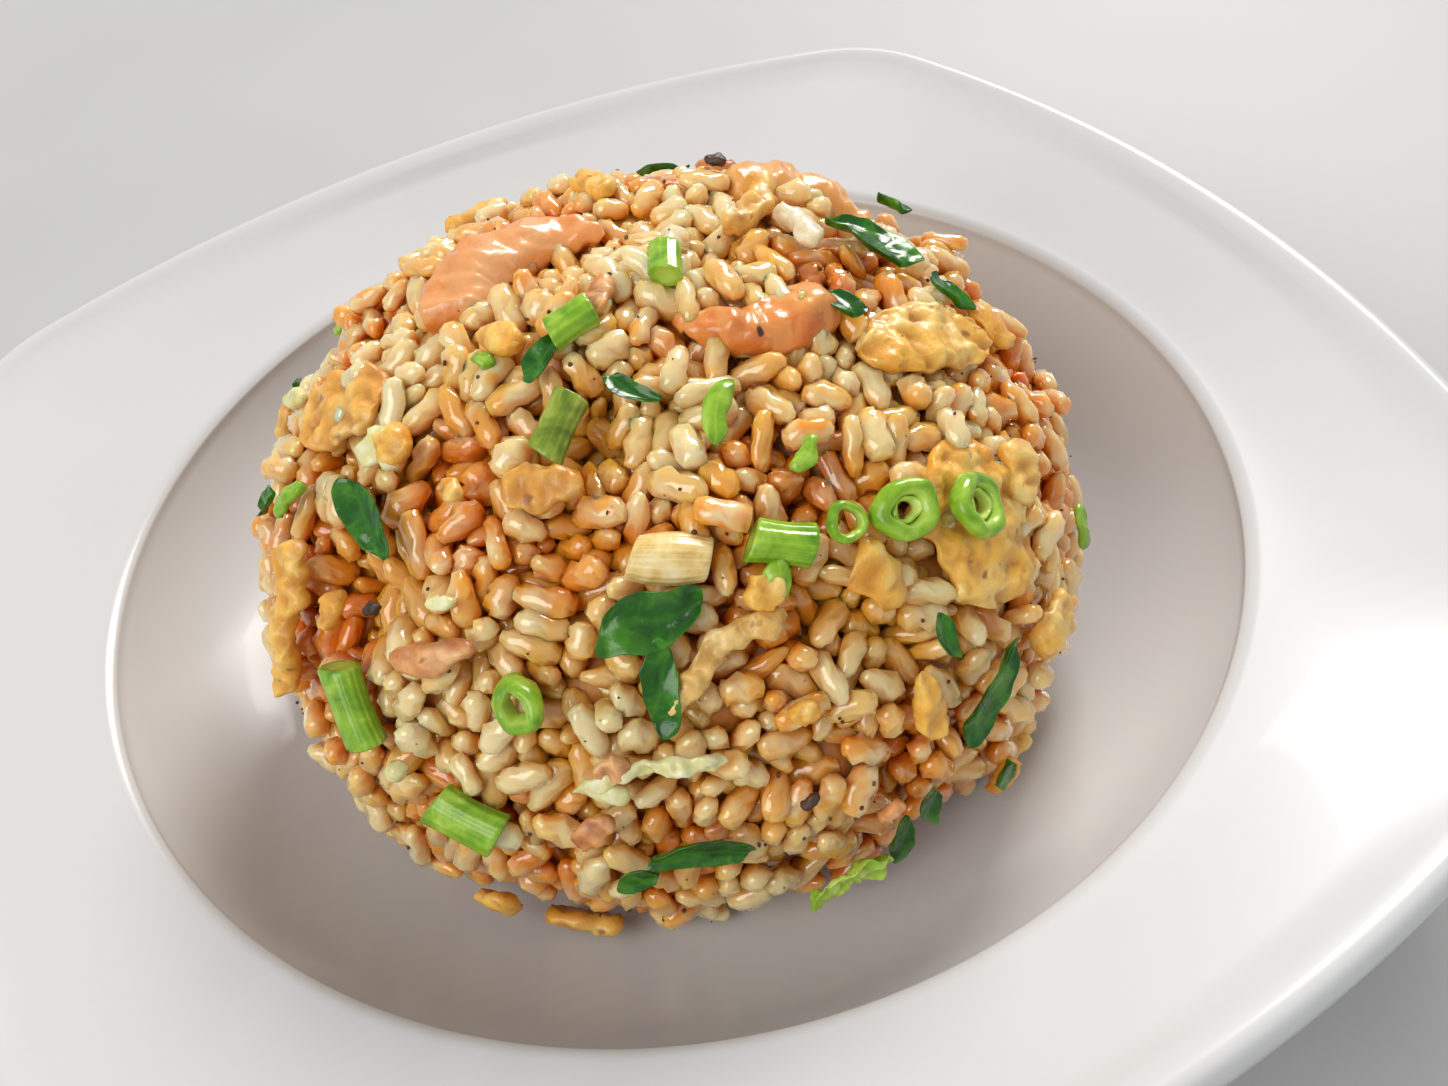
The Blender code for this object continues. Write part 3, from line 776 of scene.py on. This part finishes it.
def stalk_body(lay, length, diameter, lift, ridges, pinch, seed):
    """A cut length of stalk: ridged lengthwise, slightly flattened, with slanting cut ends."""
    sides = 60
    places = np.concatenate([[0, 0, 0.006, 0.03], np.linspace(0.08, 0.92, 16), [0.97, 0.994, 1, 1]])
    caps = np.concatenate([[0.0, 0.55, 0.9, 1.0], np.ones(16), [1.0, 0.9, 0.55, 0.0]])
    angles = TAU * np.arange(sides) / sides
    ridge = 1 + 0.035 * np.cos(ridges * angles) + 0.03 * np.sin(3 * angles + seed)
    rings = []
    for place, cap in zip(places, caps):
        waist = 1 + min(pinch, 0.0) - pinch * math.sin(math.pi * place)
        radius = diameter / 2 * cap * waist * (ridge if cap > 0.95 else 1)
        across = radius * np.cos(angles) * 1.08
        above = radius * np.sin(angles) * 0.88
        dish = 0.35 * (1 - cap) * (1 if place < 0.5 else -1)
        x = length * (place - 0.5) + 0.28 * across * (1 if place < 0.5 else 0.6) + dish
        rings.append(np.stack([x, across, lift + above + 0 * x], 1))
    rings = np.array(rings)
    tips = lay(rings[[0, -1]].mean(axis=1))
    points, faces = skin(lay(rings[1:-1]), tips[0], tips[1])
    fold = np.append(np.repeat(1 - 0.9 * caps[1:-1] ** 3, sides), [1, 1])
    around = np.append(np.tile(0.5 + 0.5 * np.cos(ridges * angles), len(places) - 2), [0.5, 0.5])
    along = np.append(np.repeat(places[1:-1], sides), [0, 1])
    return points, faces, {"along": along, "around": around, "back": around, "fold": fold}


def hoop_body(lay, outer, wall, height, tilt, lift, seed, squash=0.9):
    """One layer of a sliced stalk: a short round wall with soft rims."""
    turns, section = 56, 14
    rings, folds = [], []
    for k in range(turns):
        turn = TAU * k / turns
        wobble = 1 + 0.05 * math.sin(3 * turn + seed) + 0.03 * math.sin(5 * turn + 2 * seed)
        middle = (outer - wall) / 2 * wobble
        ring = []
        for i in range(section):
            angle = TAU * i / section
            across = math.cos(angle) * wall / 2
            above = math.copysign(abs(math.sin(angle)) ** 0.85, math.sin(angle)) * height / 2
            x = (middle + across) * math.cos(turn)
            y = (middle + across) * math.sin(turn) * squash
            wave = 0.12 * math.sin(4 * turn + seed)
            ring.append((x, y, lift + above + x * math.tan(math.radians(tilt)) + wave))
            folds.append(1.0 if across < -wall / 4 else 0.4)
        rings.append(ring)
    points, faces = hoop_skin(lay(np.array(rings)))
    folds = np.array(folds)
    return points, faces, {"along": folds, "around": folds, "back": folds, "fold": folds}


def lump_body(lay, length, width, thickness, lift, seed):
    """A small torn or chopped bit."""
    steps = 14
    share = np.linspace(0, 1, steps)
    spine = np.stack([length * (share - 0.5), 0.1 * length * np.sin(4 * share + seed), np.full(steps, lift)], 1)
    outline = np.sin(np.pi * share).clip(0) ** 0.5
    left = width / 2 * outline * ragged(steps, seed, 0.7, 0.3)
    right = width / 2 * outline * ragged(steps, seed + 4, 0.7, 0.3)
    half = thickness / 2 * np.minimum(1, 0.3 + outline)
    return strand(lay, spine, left, right, half, half, 18, 0.85, 0.35 * min(thickness, 2.0), 1.6, seed=seed)


def topping(name, body, material, node, slot):
    points, faces, marks = body
    piece = new_piece(name, points, faces, material, marks)
    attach(piece, "root")
    if node:
        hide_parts(node)
    return piece


def make_shrimps():
    finishes = {
        "shrimp_upper_left": shrimp_finish("shrimp_peach", (0.86, 0.46, 0.19), (0.78, 0.22, 0.03)),
        "shrimp_top": shrimp_finish("shrimp_seared", (0.82, 0.35, 0.08), (0.66, 0.13, 0.01), char=0.34),
        "shrimp_back": shrimp_finish("shrimp_amber", (0.86, 0.46, 0.12), (0.76, 0.25, 0.03)),
    }
    for seed, (name, (azimuth, elevation, heading, length, width, curl, lift)) in enumerate(SHRIMPS.items()):
        body = shrimp_body(on_mound(azimuth, elevation, heading), length, width, curl, lift, seed + 1.0)
        topping(name.replace("shrimp", "peeled_shrimp"), body, finishes[name], name, "shrimp")


def make_eggs():
    golden = egg_finish("egg_golden", (0.82, 0.33, 0.02), (0.93, 0.53, 0.08), (0.96, 0.70, 0.24))
    toasted = egg_finish("egg_toasted", (0.72, 0.27, 0.02), (0.90, 0.48, 0.08), (0.95, 0.67, 0.25))
    pale = egg_finish("egg_pale", (0.78, 0.42, 0.08), (0.90, 0.60, 0.20), (0.94, 0.76, 0.38))
    finishes = dict.fromkeys(("egg_left_patch", "egg_crumble", "egg_top_curl"), toasted)
    finishes["egg_cross_strip"] = pale
    for seed, (name, (azimuth, elevation, heading, *sizes)) in enumerate(EGG_SHEETS.items()):
        body = egg_sheet_body(on_mound(azimuth, elevation, heading), *sizes, 3.1 * seed + 1)
        topping(name.replace("egg", "fried_egg"), body, finishes.get(name, golden), name, "egg")
    for seed, (name, (azimuth, elevation, heading, *sizes)) in enumerate(EGG_STRIPS.items()):
        body = egg_strip_body(on_mound(azimuth, elevation, heading), *sizes, 2.7 * seed + 2)
        topping(name.replace("egg", "fried_egg"), body, finishes.get(name, golden), name, "egg")
    crumbs = [
        lump_body(on_mound(azimuth, elevation, heading), *sizes, 1.3 * seed)
        for seed, (azimuth, elevation, heading, *sizes) in enumerate(EGG_CRUMBS)
    ]
    topping("fried_egg_crumbs", joined(crumbs), golden, None, "egg")


def make_greens():
    dark = ((0.004, 0.040, 0.001), (0.014, 0.115, 0.003), (0.08, 0.30, 0.010))
    leaf = green_finish("leaf_dark_green", *dark, 0.25)
    bright = ((0.10, 0.27, 0.01), (0.25, 0.47, 0.02), (0.50, 0.68, 0.11))
    fresh = green_finish("scallion_bright_green", *bright, 0.3)
    pale = green_finish("stem_pale", (0.62, 0.56, 0.18), (0.80, 0.76, 0.36), (0.93, 0.91, 0.68))
    cream = green_finish("stalk_cream", (0.60, 0.36, 0.08), (0.86, 0.63, 0.24), (0.95, 0.86, 0.55), 0.5)
    olive = green_finish("scallion_olive", (0.07, 0.12, 0.01), (0.20, 0.29, 0.02), (0.44, 0.50, 0.09), 0.3)
    onion = green_finish("onion_clear", (0.62, 0.42, 0.20), (0.82, 0.68, 0.42), (0.93, 0.86, 0.68))
    frilly = green_finish("lettuce_lime", (0.20, 0.44, 0.02), (0.42, 0.64, 0.06), (0.72, 0.84, 0.25))
    for seed, (name, (azimuth, elevation, heading, *sizes)) in enumerate(LEAVES.items()):
        body = leaf_body(on_mound(azimuth, elevation, heading), *sizes, 2.3 * seed + 1)
        topping(name.replace("leaf", "cooked_leaf"), body, leaf, name, "leaf")
    body = leaf_body(on_mound(265, -3, 18), 10, 4.2, 0.8, 1.2, 0.9, 0.9, 31, 0.8)
    topping("lettuce_frill_piece", body, frilly, "lettuce_frill", "scallion")
    body = egg_strip_body(on_mound(245, 20, 8), 17, 1.8, 1.2, 1.2, 0.10, 41)
    topping("pale_stem_ribbon", body, pale, "stem_ribbon", "pale_stem")
    body = lump_body(on_mound(191, 49, 5), 7.2, 4.6, 2.0, 1.0, 43)
    topping("cabbage_piece", body, pale, "cabbage_chunk", "pale_stem")
    body = lump_body(on_mound(352, 64, 8), 9, 3.6, 2.2, 1.2, 47)
    topping("onion_sliver", body, onion, "onion_top", "onion")
    coats = {"scallion_stalk_pale": (cream, "pale_stem"), "scallion_stalk_green": (olive, "scallion")}
    for seed, (name, (azimuth, elevation, heading, *sizes)) in enumerate(SCALLION_STALKS.items()):
        body = stalk_body(on_mound(azimuth, elevation, heading), *sizes, 1.9 * seed)
        finish, slot = coats.get(name, (fresh, "scallion"))
        topping(name.replace("scallion", "sliced_scallion"), body, finish, name, slot)
    for seed, (name, (azimuth, elevation, outer, height, tilt, lift)) in enumerate(SCALLION_RINGS.items()):
        lay = on_mound(azimuth, elevation)
        body = hoop_body(lay, outer, 2.0, height, tilt, lift, seed)
        topping(name.replace("scallion", "sliced_scallion"), body, fresh, name, "scallion")
        body = hoop_body(lay, outer - 3.5, 0.7, height * 0.7, tilt, lift - 0.3, seed + 3, 0.8)
        topping(name.replace("scallion", "scallion_inner"), body, frilly, None, "scallion")
    parts = []
    for k, (a, e, h, *sizes) in enumerate(SMALL_STALKS):
        parts.append(stalk_body(on_mound(a, e, h), *sizes, 2.2 * k + 5))
    for k, (a, e, *sizes) in enumerate(SMALL_HOOPS):
        parts.append(hoop_body(on_mound(a, e), *sizes, 1.4 * k + 2))
    topping("small_scallion_slices", joined(parts), fresh, None, "scallion")
    groups = (
        ("loose_scallion_bits", GREEN_BITS, fresh, "scallion", lump_body),
        ("loose_pale_bits", PALE_BITS, pale, "pale_stem", lump_body),
    )
    for name, bits, finish, slot, shape in groups:
        parts = [shape(on_mound(a, e, h), *sizes, 1.7 * k + 3) for k, (a, e, h, *sizes) in enumerate(bits)]
        topping(name, joined(parts), finish, None, slot)
    parts = [
        leaf_body(on_mound(a, e, h), length, width, thick, lift, 0.4, 0.7, 1.9 * k)
        for k, (a, e, h, length, width, thick, lift) in enumerate(LEAF_BITS)
    ]
    topping("loose_leaf_bits", joined(parts), leaf, None, "leaf")


def make_bits():
    red = egg_finish("browned_shrimp_bits", (0.50, 0.14, 0.03), (0.80, 0.36, 0.11), (0.90, 0.58, 0.28))
    dark = speck_finish("charred_bits", (0.02, 0.012, 0.008), (0.10, 0.045, 0.02))
    for name, bits, finish, slot in (
        ("browned_bits", RED_BITS, red, "shrimp"),
        ("charred_bits", DARK_BITS, dark, "seasoning"),
    ):
        parts = [lump_body(on_mound(a, e, h), *sizes, 1.1 * k + 7) for k, (a, e, h, *sizes) in enumerate(bits)]
        topping(name, joined(parts), finish, None, slot)


# --- rice grains ---


def close_pairs(points, reach):
    """Pairs of points that may lie nearer than reach, each pair once, found through a grid of cells."""
    cells = np.floor(points / reach).astype(np.int64)
    cells -= cells.min(axis=0) - 1
    size = cells.max(axis=0) + 2
    keys = (cells[:, 0] * size[1] + cells[:, 1]) * size[2] + cells[:, 2]
    order = np.argsort(keys, kind="stable")
    ranked = keys[order]
    firsts, seconds = [], []
    for dx, dy, dz in itertools.product((-1, 0, 1), repeat=3):
        shift = (dx * size[1] + dy) * size[2] + dz
        if shift < 0:
            continue
        low = np.searchsorted(ranked, keys + shift, "left")
        count = np.searchsorted(ranked, keys + shift, "right") - low
        first = np.repeat(np.arange(len(points)), count)
        start = np.repeat(low - (np.cumsum(count) - count), count)
        second = order[np.arange(count.sum()) + start]
        keep = first < second if shift == 0 else np.ones(len(first), bool)
        firsts.append(first[keep])
        seconds.append(second[keep])
    return np.concatenate(firsts), np.concatenate(seconds)


def topping_beads():
    """Still spheres over every topping's solid, which keep the grains off it, as centres and radii."""
    centres = []
    for name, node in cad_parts.items():
        if name in ("plate", "rice_mound"):
            continue
        mesh = node.data
        points = np.array([vert.co for vert in mesh.vertices]) / MM
        corners = np.array([points[list(face.vertices)].mean(axis=0) for face in mesh.polygons])
        spots = np.vstack([points, corners])
        centres.append(spots[:: 1 if len(spots) < 400 else 2])
    bits = EGG_CRUMBS + GREEN_BITS + LEAF_BITS + PALE_BITS + RED_BITS
    for azimuth, elevation, heading, length, width, _, lift in bits:
        lay = on_mound(azimuth, elevation, heading)
        steps = np.arange(-length / 2 + 0.8, length / 2, 1.1)
        rows = np.arange(-width / 2 + 0.7, width / 2, 1.1)
        grid = np.array([(x, y, lift + 0.2) for x in steps for y in rows]).reshape(-1, 3)
        centres.append(lay(grid))
    centres = np.vstack(centres)
    return centres, np.full(len(centres), STILL_RADIUS)


def pack_grains(rng):
    """Grains pushed apart until they lie against each other, as bead spheres on short rods."""
    count = GRAIN_COUNT
    lowest = math.sin(math.radians(LOWEST_GRAIN))
    sines = 1 - (1 - lowest) * (np.arange(count) + 0.5) / count
    sines = np.clip(sines + rng.normal(0, 0.01, count), lowest, 0.9999)
    azimuths = (np.arange(count) * 2.399963 + rng.normal(0, 0.1, count)) % TAU
    level = np.sqrt(1 - sines**2)
    aims = np.stack([level * np.cos(azimuths), level * np.sin(azimuths), sines], 1)
    depth = SHELL_DEPTH * rng.random(count) ** 1.15
    whole = rng.random(count) < 0.80
    lengths = np.where(whole, rng.normal(6.5, 0.8, count), rng.uniform(4.2, 5.4, count))
    widths = np.where(whole, rng.normal(3.2, 0.34, count), rng.normal(3.3, 0.35, count))
    centres = MOUND_CENTRE + aims * (mound_reach(aims) - depth)[:, None]
    axes = rng.normal(size=(count, 3))
    axes -= 0.80 * aims * np.sum(axes * aims, axis=1, keepdims=True)
    axes /= np.linalg.norm(axes, axis=1, keepdims=True)
    proud = np.clip(rng.normal(-0.1, 1.1, count), -2.2, 2.2)
    halves = lengths / 2
    radii = widths / 2 * 0.85
    still, still_radii = topping_beads()
    bead_radii = np.concatenate([np.repeat(radii, 3), still_radii])
    owner = np.repeat(np.arange(count), 3)
    outline = mound_reach(aims) + unevenness(aims)
    for turn in range(PACKING_ROUNDS):
        rods = centres[:, None] + axes[:, None] * (BEADS[None, :, None] * (halves - radii * 0.6)[:, None, None])
        beads = rods.reshape(-1, 3)
        everything = np.vstack([beads, still])
        first, second = close_pairs(everything, 4.0)
        real = first < len(beads)
        first, second = first[real], second[real]
        loose = second < len(beads)
        same = np.zeros(len(first), bool)
        same[loose] = owner[first[loose]] == owner[second[loose]]
        first, second, loose = first[~same], second[~same], loose[~same]
        gap = everything[first] - everything[second]
        apart = np.linalg.norm(gap, axis=1) + 1e-9
        overlap = np.maximum(bead_radii[first] + bead_radii[second] - apart, 0)
        push = gap / apart[:, None] * (overlap * np.where(loose, 0.30, 0.55))[:, None]
        moves = np.zeros_like(everything)
        np.add.at(moves, first, push)
        np.add.at(moves, second[loose], -push[loose])
        beads = beads + moves[: len(beads)]
        away = beads - MOUND_CENTRE
        far = np.linalg.norm(away, axis=1)
        aims = away / far[:, None]
        if turn % 10 == 0:
            outline = mound_reach(aims) + unevenness(aims)
        limit = outline + np.repeat(proud - radii * 0.9, 3)
        excess = np.maximum(far - limit, 0) * 0.30 - np.maximum(limit - SHELL_DEPTH - far, 0) * 0.3 + 0.02
        beads -= aims * excess[:, None]
        floor = well_height(np.hypot(beads[:, 0], beads[:, 1])) + np.repeat(radii, 3)
        beads[:, 2] = np.maximum(beads[:, 2], floor)
        rods = beads.reshape(count, 3, 3)
        centres = rods.mean(axis=1)
        axes = rods[:, 2] - rods[:, 0]
        axes /= np.linalg.norm(axes, axis=1, keepdims=True)
    return centres, axes, lengths, widths


# Grain shapes: bend, bluntness of each end, lumpiness, taper towards the second end
GRAIN_SHAPES = (
    (0.00, 3.2, 4.2, 0.11, 0.03),
    (0.06, 3.0, 3.6, 0.13, 0.06),
    (-0.04, 2.8, 8.0, 0.12, 0.00),
    (0.03, 4.0, 3.2, 0.17, 0.12),
    (-0.08, 3.0, 3.4, 0.14, 0.18),
    (0.02, 6.0, 4.5, 0.16, 0.06),
    (0.09, 3.4, 3.0, 0.12, 0.10),
    (0.00, 3.6, 3.6, 0.20, 0.00),
    (-0.05, 4.5, 3.0, 0.18, 0.14),
    (0.04, 2.8, 5.0, 0.15, 0.08),
)


def grain_shape(name, kind):
    """A grain one unit long and one wide: plump, with rounded or broken ends."""
    bend, first_power, last_power, lumps, taper = GRAIN_SHAPES[kind]
    sides, rows = 8, 6
    places = np.cos(np.linspace(math.pi, 0, rows + 2))
    rings = []
    for k, place in enumerate(places[1:-1]):
        power = last_power if place > 0 else first_power
        radius = 0.5 * (1 - abs(place) ** power) ** 0.5 * (1 - taper * place)
        angles = TAU * (np.arange(sides) + 0.5 * (k % 2)) / sides
        y = radius * np.cos(angles) + bend * (0.5 - place**2)
        z = radius * np.sin(angles) * 0.86
        ring = np.stack([np.full(sides, place / 2), y, z], 1)
        uneven = grain_of_noise(ring * (2.0, 1.0, 1.0), 0.42, 3.3 * kind)
        ring[:, 1:] *= 1 + 2.8 * lumps * uneven[:, None]
        rings.append(ring)
    points, faces = skin(rings, (-0.5, -0.5 * bend, 0), (0.5, -0.5 * bend, 0))
    return new_piece(name, points / MM, faces, bpy.data.materials.new(name))


def scatter_tree(name, shapes):
    """Places one of the shapes on each point, turned and sized by the points' attributes."""
    tree = bpy.data.node_groups.new(name, "GeometryNodeTree")
    tree.interface.new_socket("Geometry", in_out="INPUT", socket_type="NodeSocketGeometry")
    size = tree.interface.new_socket("Overall Size", in_out="INPUT", socket_type="NodeSocketFloat")
    size.default_value = 1.0
    tree.interface.new_socket("Finish", in_out="INPUT", socket_type="NodeSocketMaterial")
    tree.interface.new_socket("Geometry", in_out="OUTPUT", socket_type="NodeSocketGeometry")
    add = tree.nodes.new
    source, result = add("NodeGroupInput"), add("NodeGroupOutput")
    together = add("GeometryNodeJoinGeometry")
    for shape in shapes:
        picked = add("GeometryNodeObjectInfo")
        picked.inputs["Object"].default_value = shape
        picked.inputs["As Instance"].default_value = True
        tree.links.new(picked.outputs["Geometry"], together.inputs["Geometry"])

    def named(attribute, kind):
        node = add("GeometryNodeInputNamedAttribute")
        node.data_type = kind
        node.inputs["Name"].default_value = attribute
        return node.outputs["Attribute"]

    turned = add("FunctionNodeAxesToRotation")
    turned.primary_axis, turned.secondary_axis = "X", "Z"
    tree.links.new(named("lies_along", "FLOAT_VECTOR"), turned.inputs["Primary Axis"])
    tree.links.new(named("faces_up", "FLOAT_VECTOR"), turned.inputs["Secondary Axis"])
    scaled = add("ShaderNodeVectorMath")
    scaled.operation = "SCALE"
    tree.links.new(named("size", "FLOAT_VECTOR"), scaled.inputs[0])
    tree.links.new(source.outputs["Overall Size"], scaled.inputs["Scale"])
    placed = add("GeometryNodeInstanceOnPoints")
    placed.inputs["Pick Instance"].default_value = True
    tree.links.new(source.outputs["Geometry"], placed.inputs["Points"])
    tree.links.new(together.outputs["Geometry"], placed.inputs["Instance"])
    tree.links.new(named("shape", "INT"), placed.inputs["Instance Index"])
    tree.links.new(turned.outputs["Rotation"], placed.inputs["Rotation"])
    tree.links.new(scaled.outputs["Vector"], placed.inputs["Scale"])
    real = add("GeometryNodeRealizeInstances")
    coated = add("GeometryNodeSetMaterial")
    tree.links.new(placed.outputs["Instances"], real.inputs["Geometry"])
    tree.links.new(real.outputs["Geometry"], coated.inputs["Geometry"])
    tree.links.new(source.outputs["Finish"], coated.inputs["Material"])
    tree.links.new(coated.outputs["Geometry"], result.inputs["Geometry"])
    return tree


def scattered(name, tree, finish, centres, along, up, sizes, shapes, tints):
    """Runs the tree over the given places and keeps the result as a plain mesh."""
    mesh = bpy.data.meshes.new(name + "_places")
    mesh.from_pydata((centres * MM).tolist(), [], [])
    for attribute, values in (("lies_along", along), ("faces_up", up), ("size", sizes * MM)):
        layer = mesh.attributes.new(attribute, "FLOAT_VECTOR", "POINT")
        layer.data.foreach_set("vector", np.asarray(values, np.float32).ravel())
    mesh.attributes.new("shape", "INT", "POINT").data.foreach_set("value", np.asarray(shapes, np.int32))
    mesh.attributes.new("tint", "FLOAT", "POINT").data.foreach_set("value", np.asarray(tints, np.float32))
    places = bpy.data.objects.new(name + "_places", mesh)
    bpy.context.scene.collection.objects.link(places)
    scatter = places.modifiers.new("scatter", "NODES")
    scatter.node_group = tree
    sockets = {item.name: item.identifier for item in tree.interface.items_tree if item.in_out == "INPUT"}
    scatter[sockets["Overall Size"]] = 1.0
    scatter[sockets["Finish"]] = finish
    depsgraph = bpy.context.evaluated_depsgraph_get()
    evaluated = places.evaluated_get(depsgraph)
    made = bpy.data.meshes.new_from_object(evaluated, preserve_all_data_layers=True, depsgraph=depsgraph)
    made.name = name
    made.shade_smooth()
    mark_painted_shade(made)
    bpy.data.objects.remove(places)
    piece = bpy.data.objects.new(name, made)
    bpy.context.scene.collection.objects.link(piece)
    return piece


def mark_painted_shade(mesh):
    """Marks painted shade on each point: more where it faces inward and where it lies below the smooth outline.
    """
    points = np.empty(len(mesh.vertices) * 3, np.float32)
    normals = np.empty(len(mesh.vertices) * 3, np.float32)
    mesh.vertices.foreach_get("co", points)
    mesh.vertices.foreach_get("normal", normals)
    away = points.reshape(-1, 3) / MM - MOUND_CENTRE
    far = np.linalg.norm(away, axis=1)
    aims = away / far[:, None]
    facing = np.sum(normals.reshape(-1, 3) * aims, axis=1)
    depth = np.clip(mound_reach(aims) - far, -2, 5)
    painted_shade = np.clip(-0.02 + 0.20 * (1 - facing) + 0.20 * depth, 0, 1)
    mesh.attributes.new("painted_shade", "FLOAT", "POINT").data.foreach_set("value", painted_shade.astype(np.float32))


# The tints of grain: piece name, painted shade colour for the gaps and undersides, darker and paler tint, share
# of the grains
RICE_TINTS = (
    ("rice_pale", (0.80, 0.38, 0.05), (0.86, 0.59, 0.26), (0.90, 0.74, 0.44), 0.34),
    ("rice_cream", (0.78, 0.29, 0.02), (0.86, 0.45, 0.10), (0.89, 0.58, 0.20), 0.36),
    ("rice_golden", (0.74, 0.20, 0.01), (0.86, 0.34, 0.03), (0.89, 0.45, 0.07), 0.27),
    ("rice_browned", (0.50, 0.12, 0.01), (0.72, 0.24, 0.02), (0.82, 0.34, 0.05), 0.03),
)


def make_rice():
    rng = np.random.default_rng(7)
    centres, axes, lengths, widths = pack_grains(rng)
    away = centres - MOUND_CENTRE
    aims = away / np.linalg.norm(away, axis=1, keepdims=True)
    up = aims + rng.normal(0, 0.5, aims.shape)
    shapes = [grain_shape(f"grain_shape_{kind}", kind) for kind in range(len(GRAIN_SHAPES))]
    tree = scatter_tree("rice_scatter", shapes)
    pick = np.random.default_rng(11).random(len(centres)) * 0.55 + 1.3 * grain_of_noise(centres, 15.0, 9.0)
    pick = pick.argsort().argsort() / len(centres)
    tints = np.random.default_rng(12).random(len(centres))
    which = np.random.default_rng(13).integers(0, len(GRAIN_SHAPES), len(centres))
    sizes = np.stack([lengths, widths, widths], 1)
    start = 0.0
    for name, deep, middle, pale, share in RICE_TINTS:
        finish = rice_finish(name + "_grain", deep, middle, pale)
        chosen = (pick >= start) & (pick < start + share)
        start += share
        lie = (centres[chosen], axes[chosen], up[chosen])
        piece = scattered(name, tree, finish, *lie, sizes[chosen], which[chosen], tints[chosen])
        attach(piece, "root")
    make_specks(centres, aims, axes, widths)
    for shape in shapes:
        bpy.data.objects.remove(shape)


def make_specks(centres, aims, axes, widths):
    """Ground pepper and burnt flecks that stick to the outer grains."""
    rng = np.random.default_rng(21)
    depth = mound_reach(aims) - np.linalg.norm(centres - MOUND_CENTRE, axis=1)
    outer = np.nonzero(depth < 3.0)[0]
    chosen = rng.choice(outer, SPECK_COUNT)
    lean = aims[chosen] + rng.normal(0, 0.35, (SPECK_COUNT, 3))
    lean -= axes[chosen] * np.sum(lean * axes[chosen], axis=1, keepdims=True)
    lean /= np.linalg.norm(lean, axis=1, keepdims=True)
    along = axes[chosen] * rng.uniform(-2.2, 2.2, (SPECK_COUNT, 1))
    places = centres[chosen] + along + lean * (widths[chosen] * 0.46)[:, None]
    body = bmesh.new()
    bmesh.ops.create_icosphere(body, subdivisions=1, radius=0.5)
    mesh = bpy.data.meshes.new("speck_shape")
    body.to_mesh(mesh)
    body.free()
    shape = bpy.data.objects.new("speck_shape", mesh)
    bpy.context.scene.collection.objects.link(shape)
    sizes = rng.uniform(0.22, 0.62, (SPECK_COUNT, 1)) * rng.uniform(0.7, 1.4, (SPECK_COUNT, 3))
    tree = scatter_tree("speck_scatter", [shape])
    finish = speck_finish("pepper_specks", (0.03, 0.014, 0.008), (0.20, 0.08, 0.025))
    turns = rng.normal(size=(SPECK_COUNT, 3))
    shapes, tints = np.zeros(SPECK_COUNT), rng.random(SPECK_COUNT)
    piece = scattered("pepper_specks", tree, finish, places, turns, lean, sizes, shapes, tints)
    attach(piece, "root")
    bpy.data.objects.remove(shape)


# --- studio ---


def floor_finish():
    finish = Finish("pale_floor")
    stops = ((0.3, (0.47, 0.47, 0.465)), (0.7, (0.50, 0.50, 0.495)))
    finish.colour(finish.ramp(finish.noise(60, detail=2), stops))
    finish.set(Roughness=0.6)
    return finish.material


def make_floor():
    points = np.array([(-1500, -1500, 0), (1500, -1500, 0), (1500, 1500, 0), (-1500, 1500, 0)])
    floor = new_piece("studio_floor", points, [(0, 1, 2, 3)], floor_finish())


def area_light(name, location, aim, width, height, power, colour):
    light = bpy.data.lights.new(name, "AREA")
    light.shape = "RECTANGLE"
    light.size, light.size_y = width, height
    light.energy = power
    light.color = colour
    lamp = bpy.data.objects.new(name, light)
    lamp.location = location
    lamp.rotation_mode = "QUATERNION"
    lamp.rotation_quaternion = (Vector(aim) - Vector(location)).to_track_quat("-Z", "Y")
    bpy.context.scene.collection.objects.link(lamp)


def make_light():
    world = bpy.data.worlds.new("studio")
    world.use_nodes = True
    world.node_tree.nodes["Background"].inputs["Color"].default_value = (0.92, 0.95, 1.0, 1)
    world.node_tree.nodes["Background"].inputs["Strength"].default_value = 0.50
    bpy.context.scene.world = world
    area_light("window", (1.55, 1.60, 1.62), (0, 0, 0.03), 1.0, 1.0, 62.0, (1.0, 0.97, 0.93))
    area_light("fill", (-1.2, -0.45, 1.25), (0, 0, 0.03), 1.2, 1.2, 17.0, (1.0, 0.97, 0.93))
    bpy.context.scene.view_settings.view_transform = "Standard"


def make_camera():
    lens = bpy.data.cameras.new("camera")
    lens.lens = 33.56
    lens.sensor_width = 36
    lens.clip_start = 0.01
    camera = bpy.data.objects.new("camera", lens)
    eye, aim, roll = Vector((-0.03796, -0.13021, 0.16251)), Vector((0.00727, -0.00131, 0.01644)), -9.62
    camera.location = eye
    camera.rotation_mode = "QUATERNION"
    level = (aim - eye).to_track_quat("-Z", "Y")
    camera.rotation_quaternion = level @ Quaternion((0, 0, 1), math.radians(roll))
    bpy.context.scene.collection.objects.link(camera)
    bpy.context.scene.camera = camera


make_camera()
make_light()
make_floor()
make_plate()
make_core()
make_shrimps()
make_eggs()
make_greens()
make_bits()
make_rice()
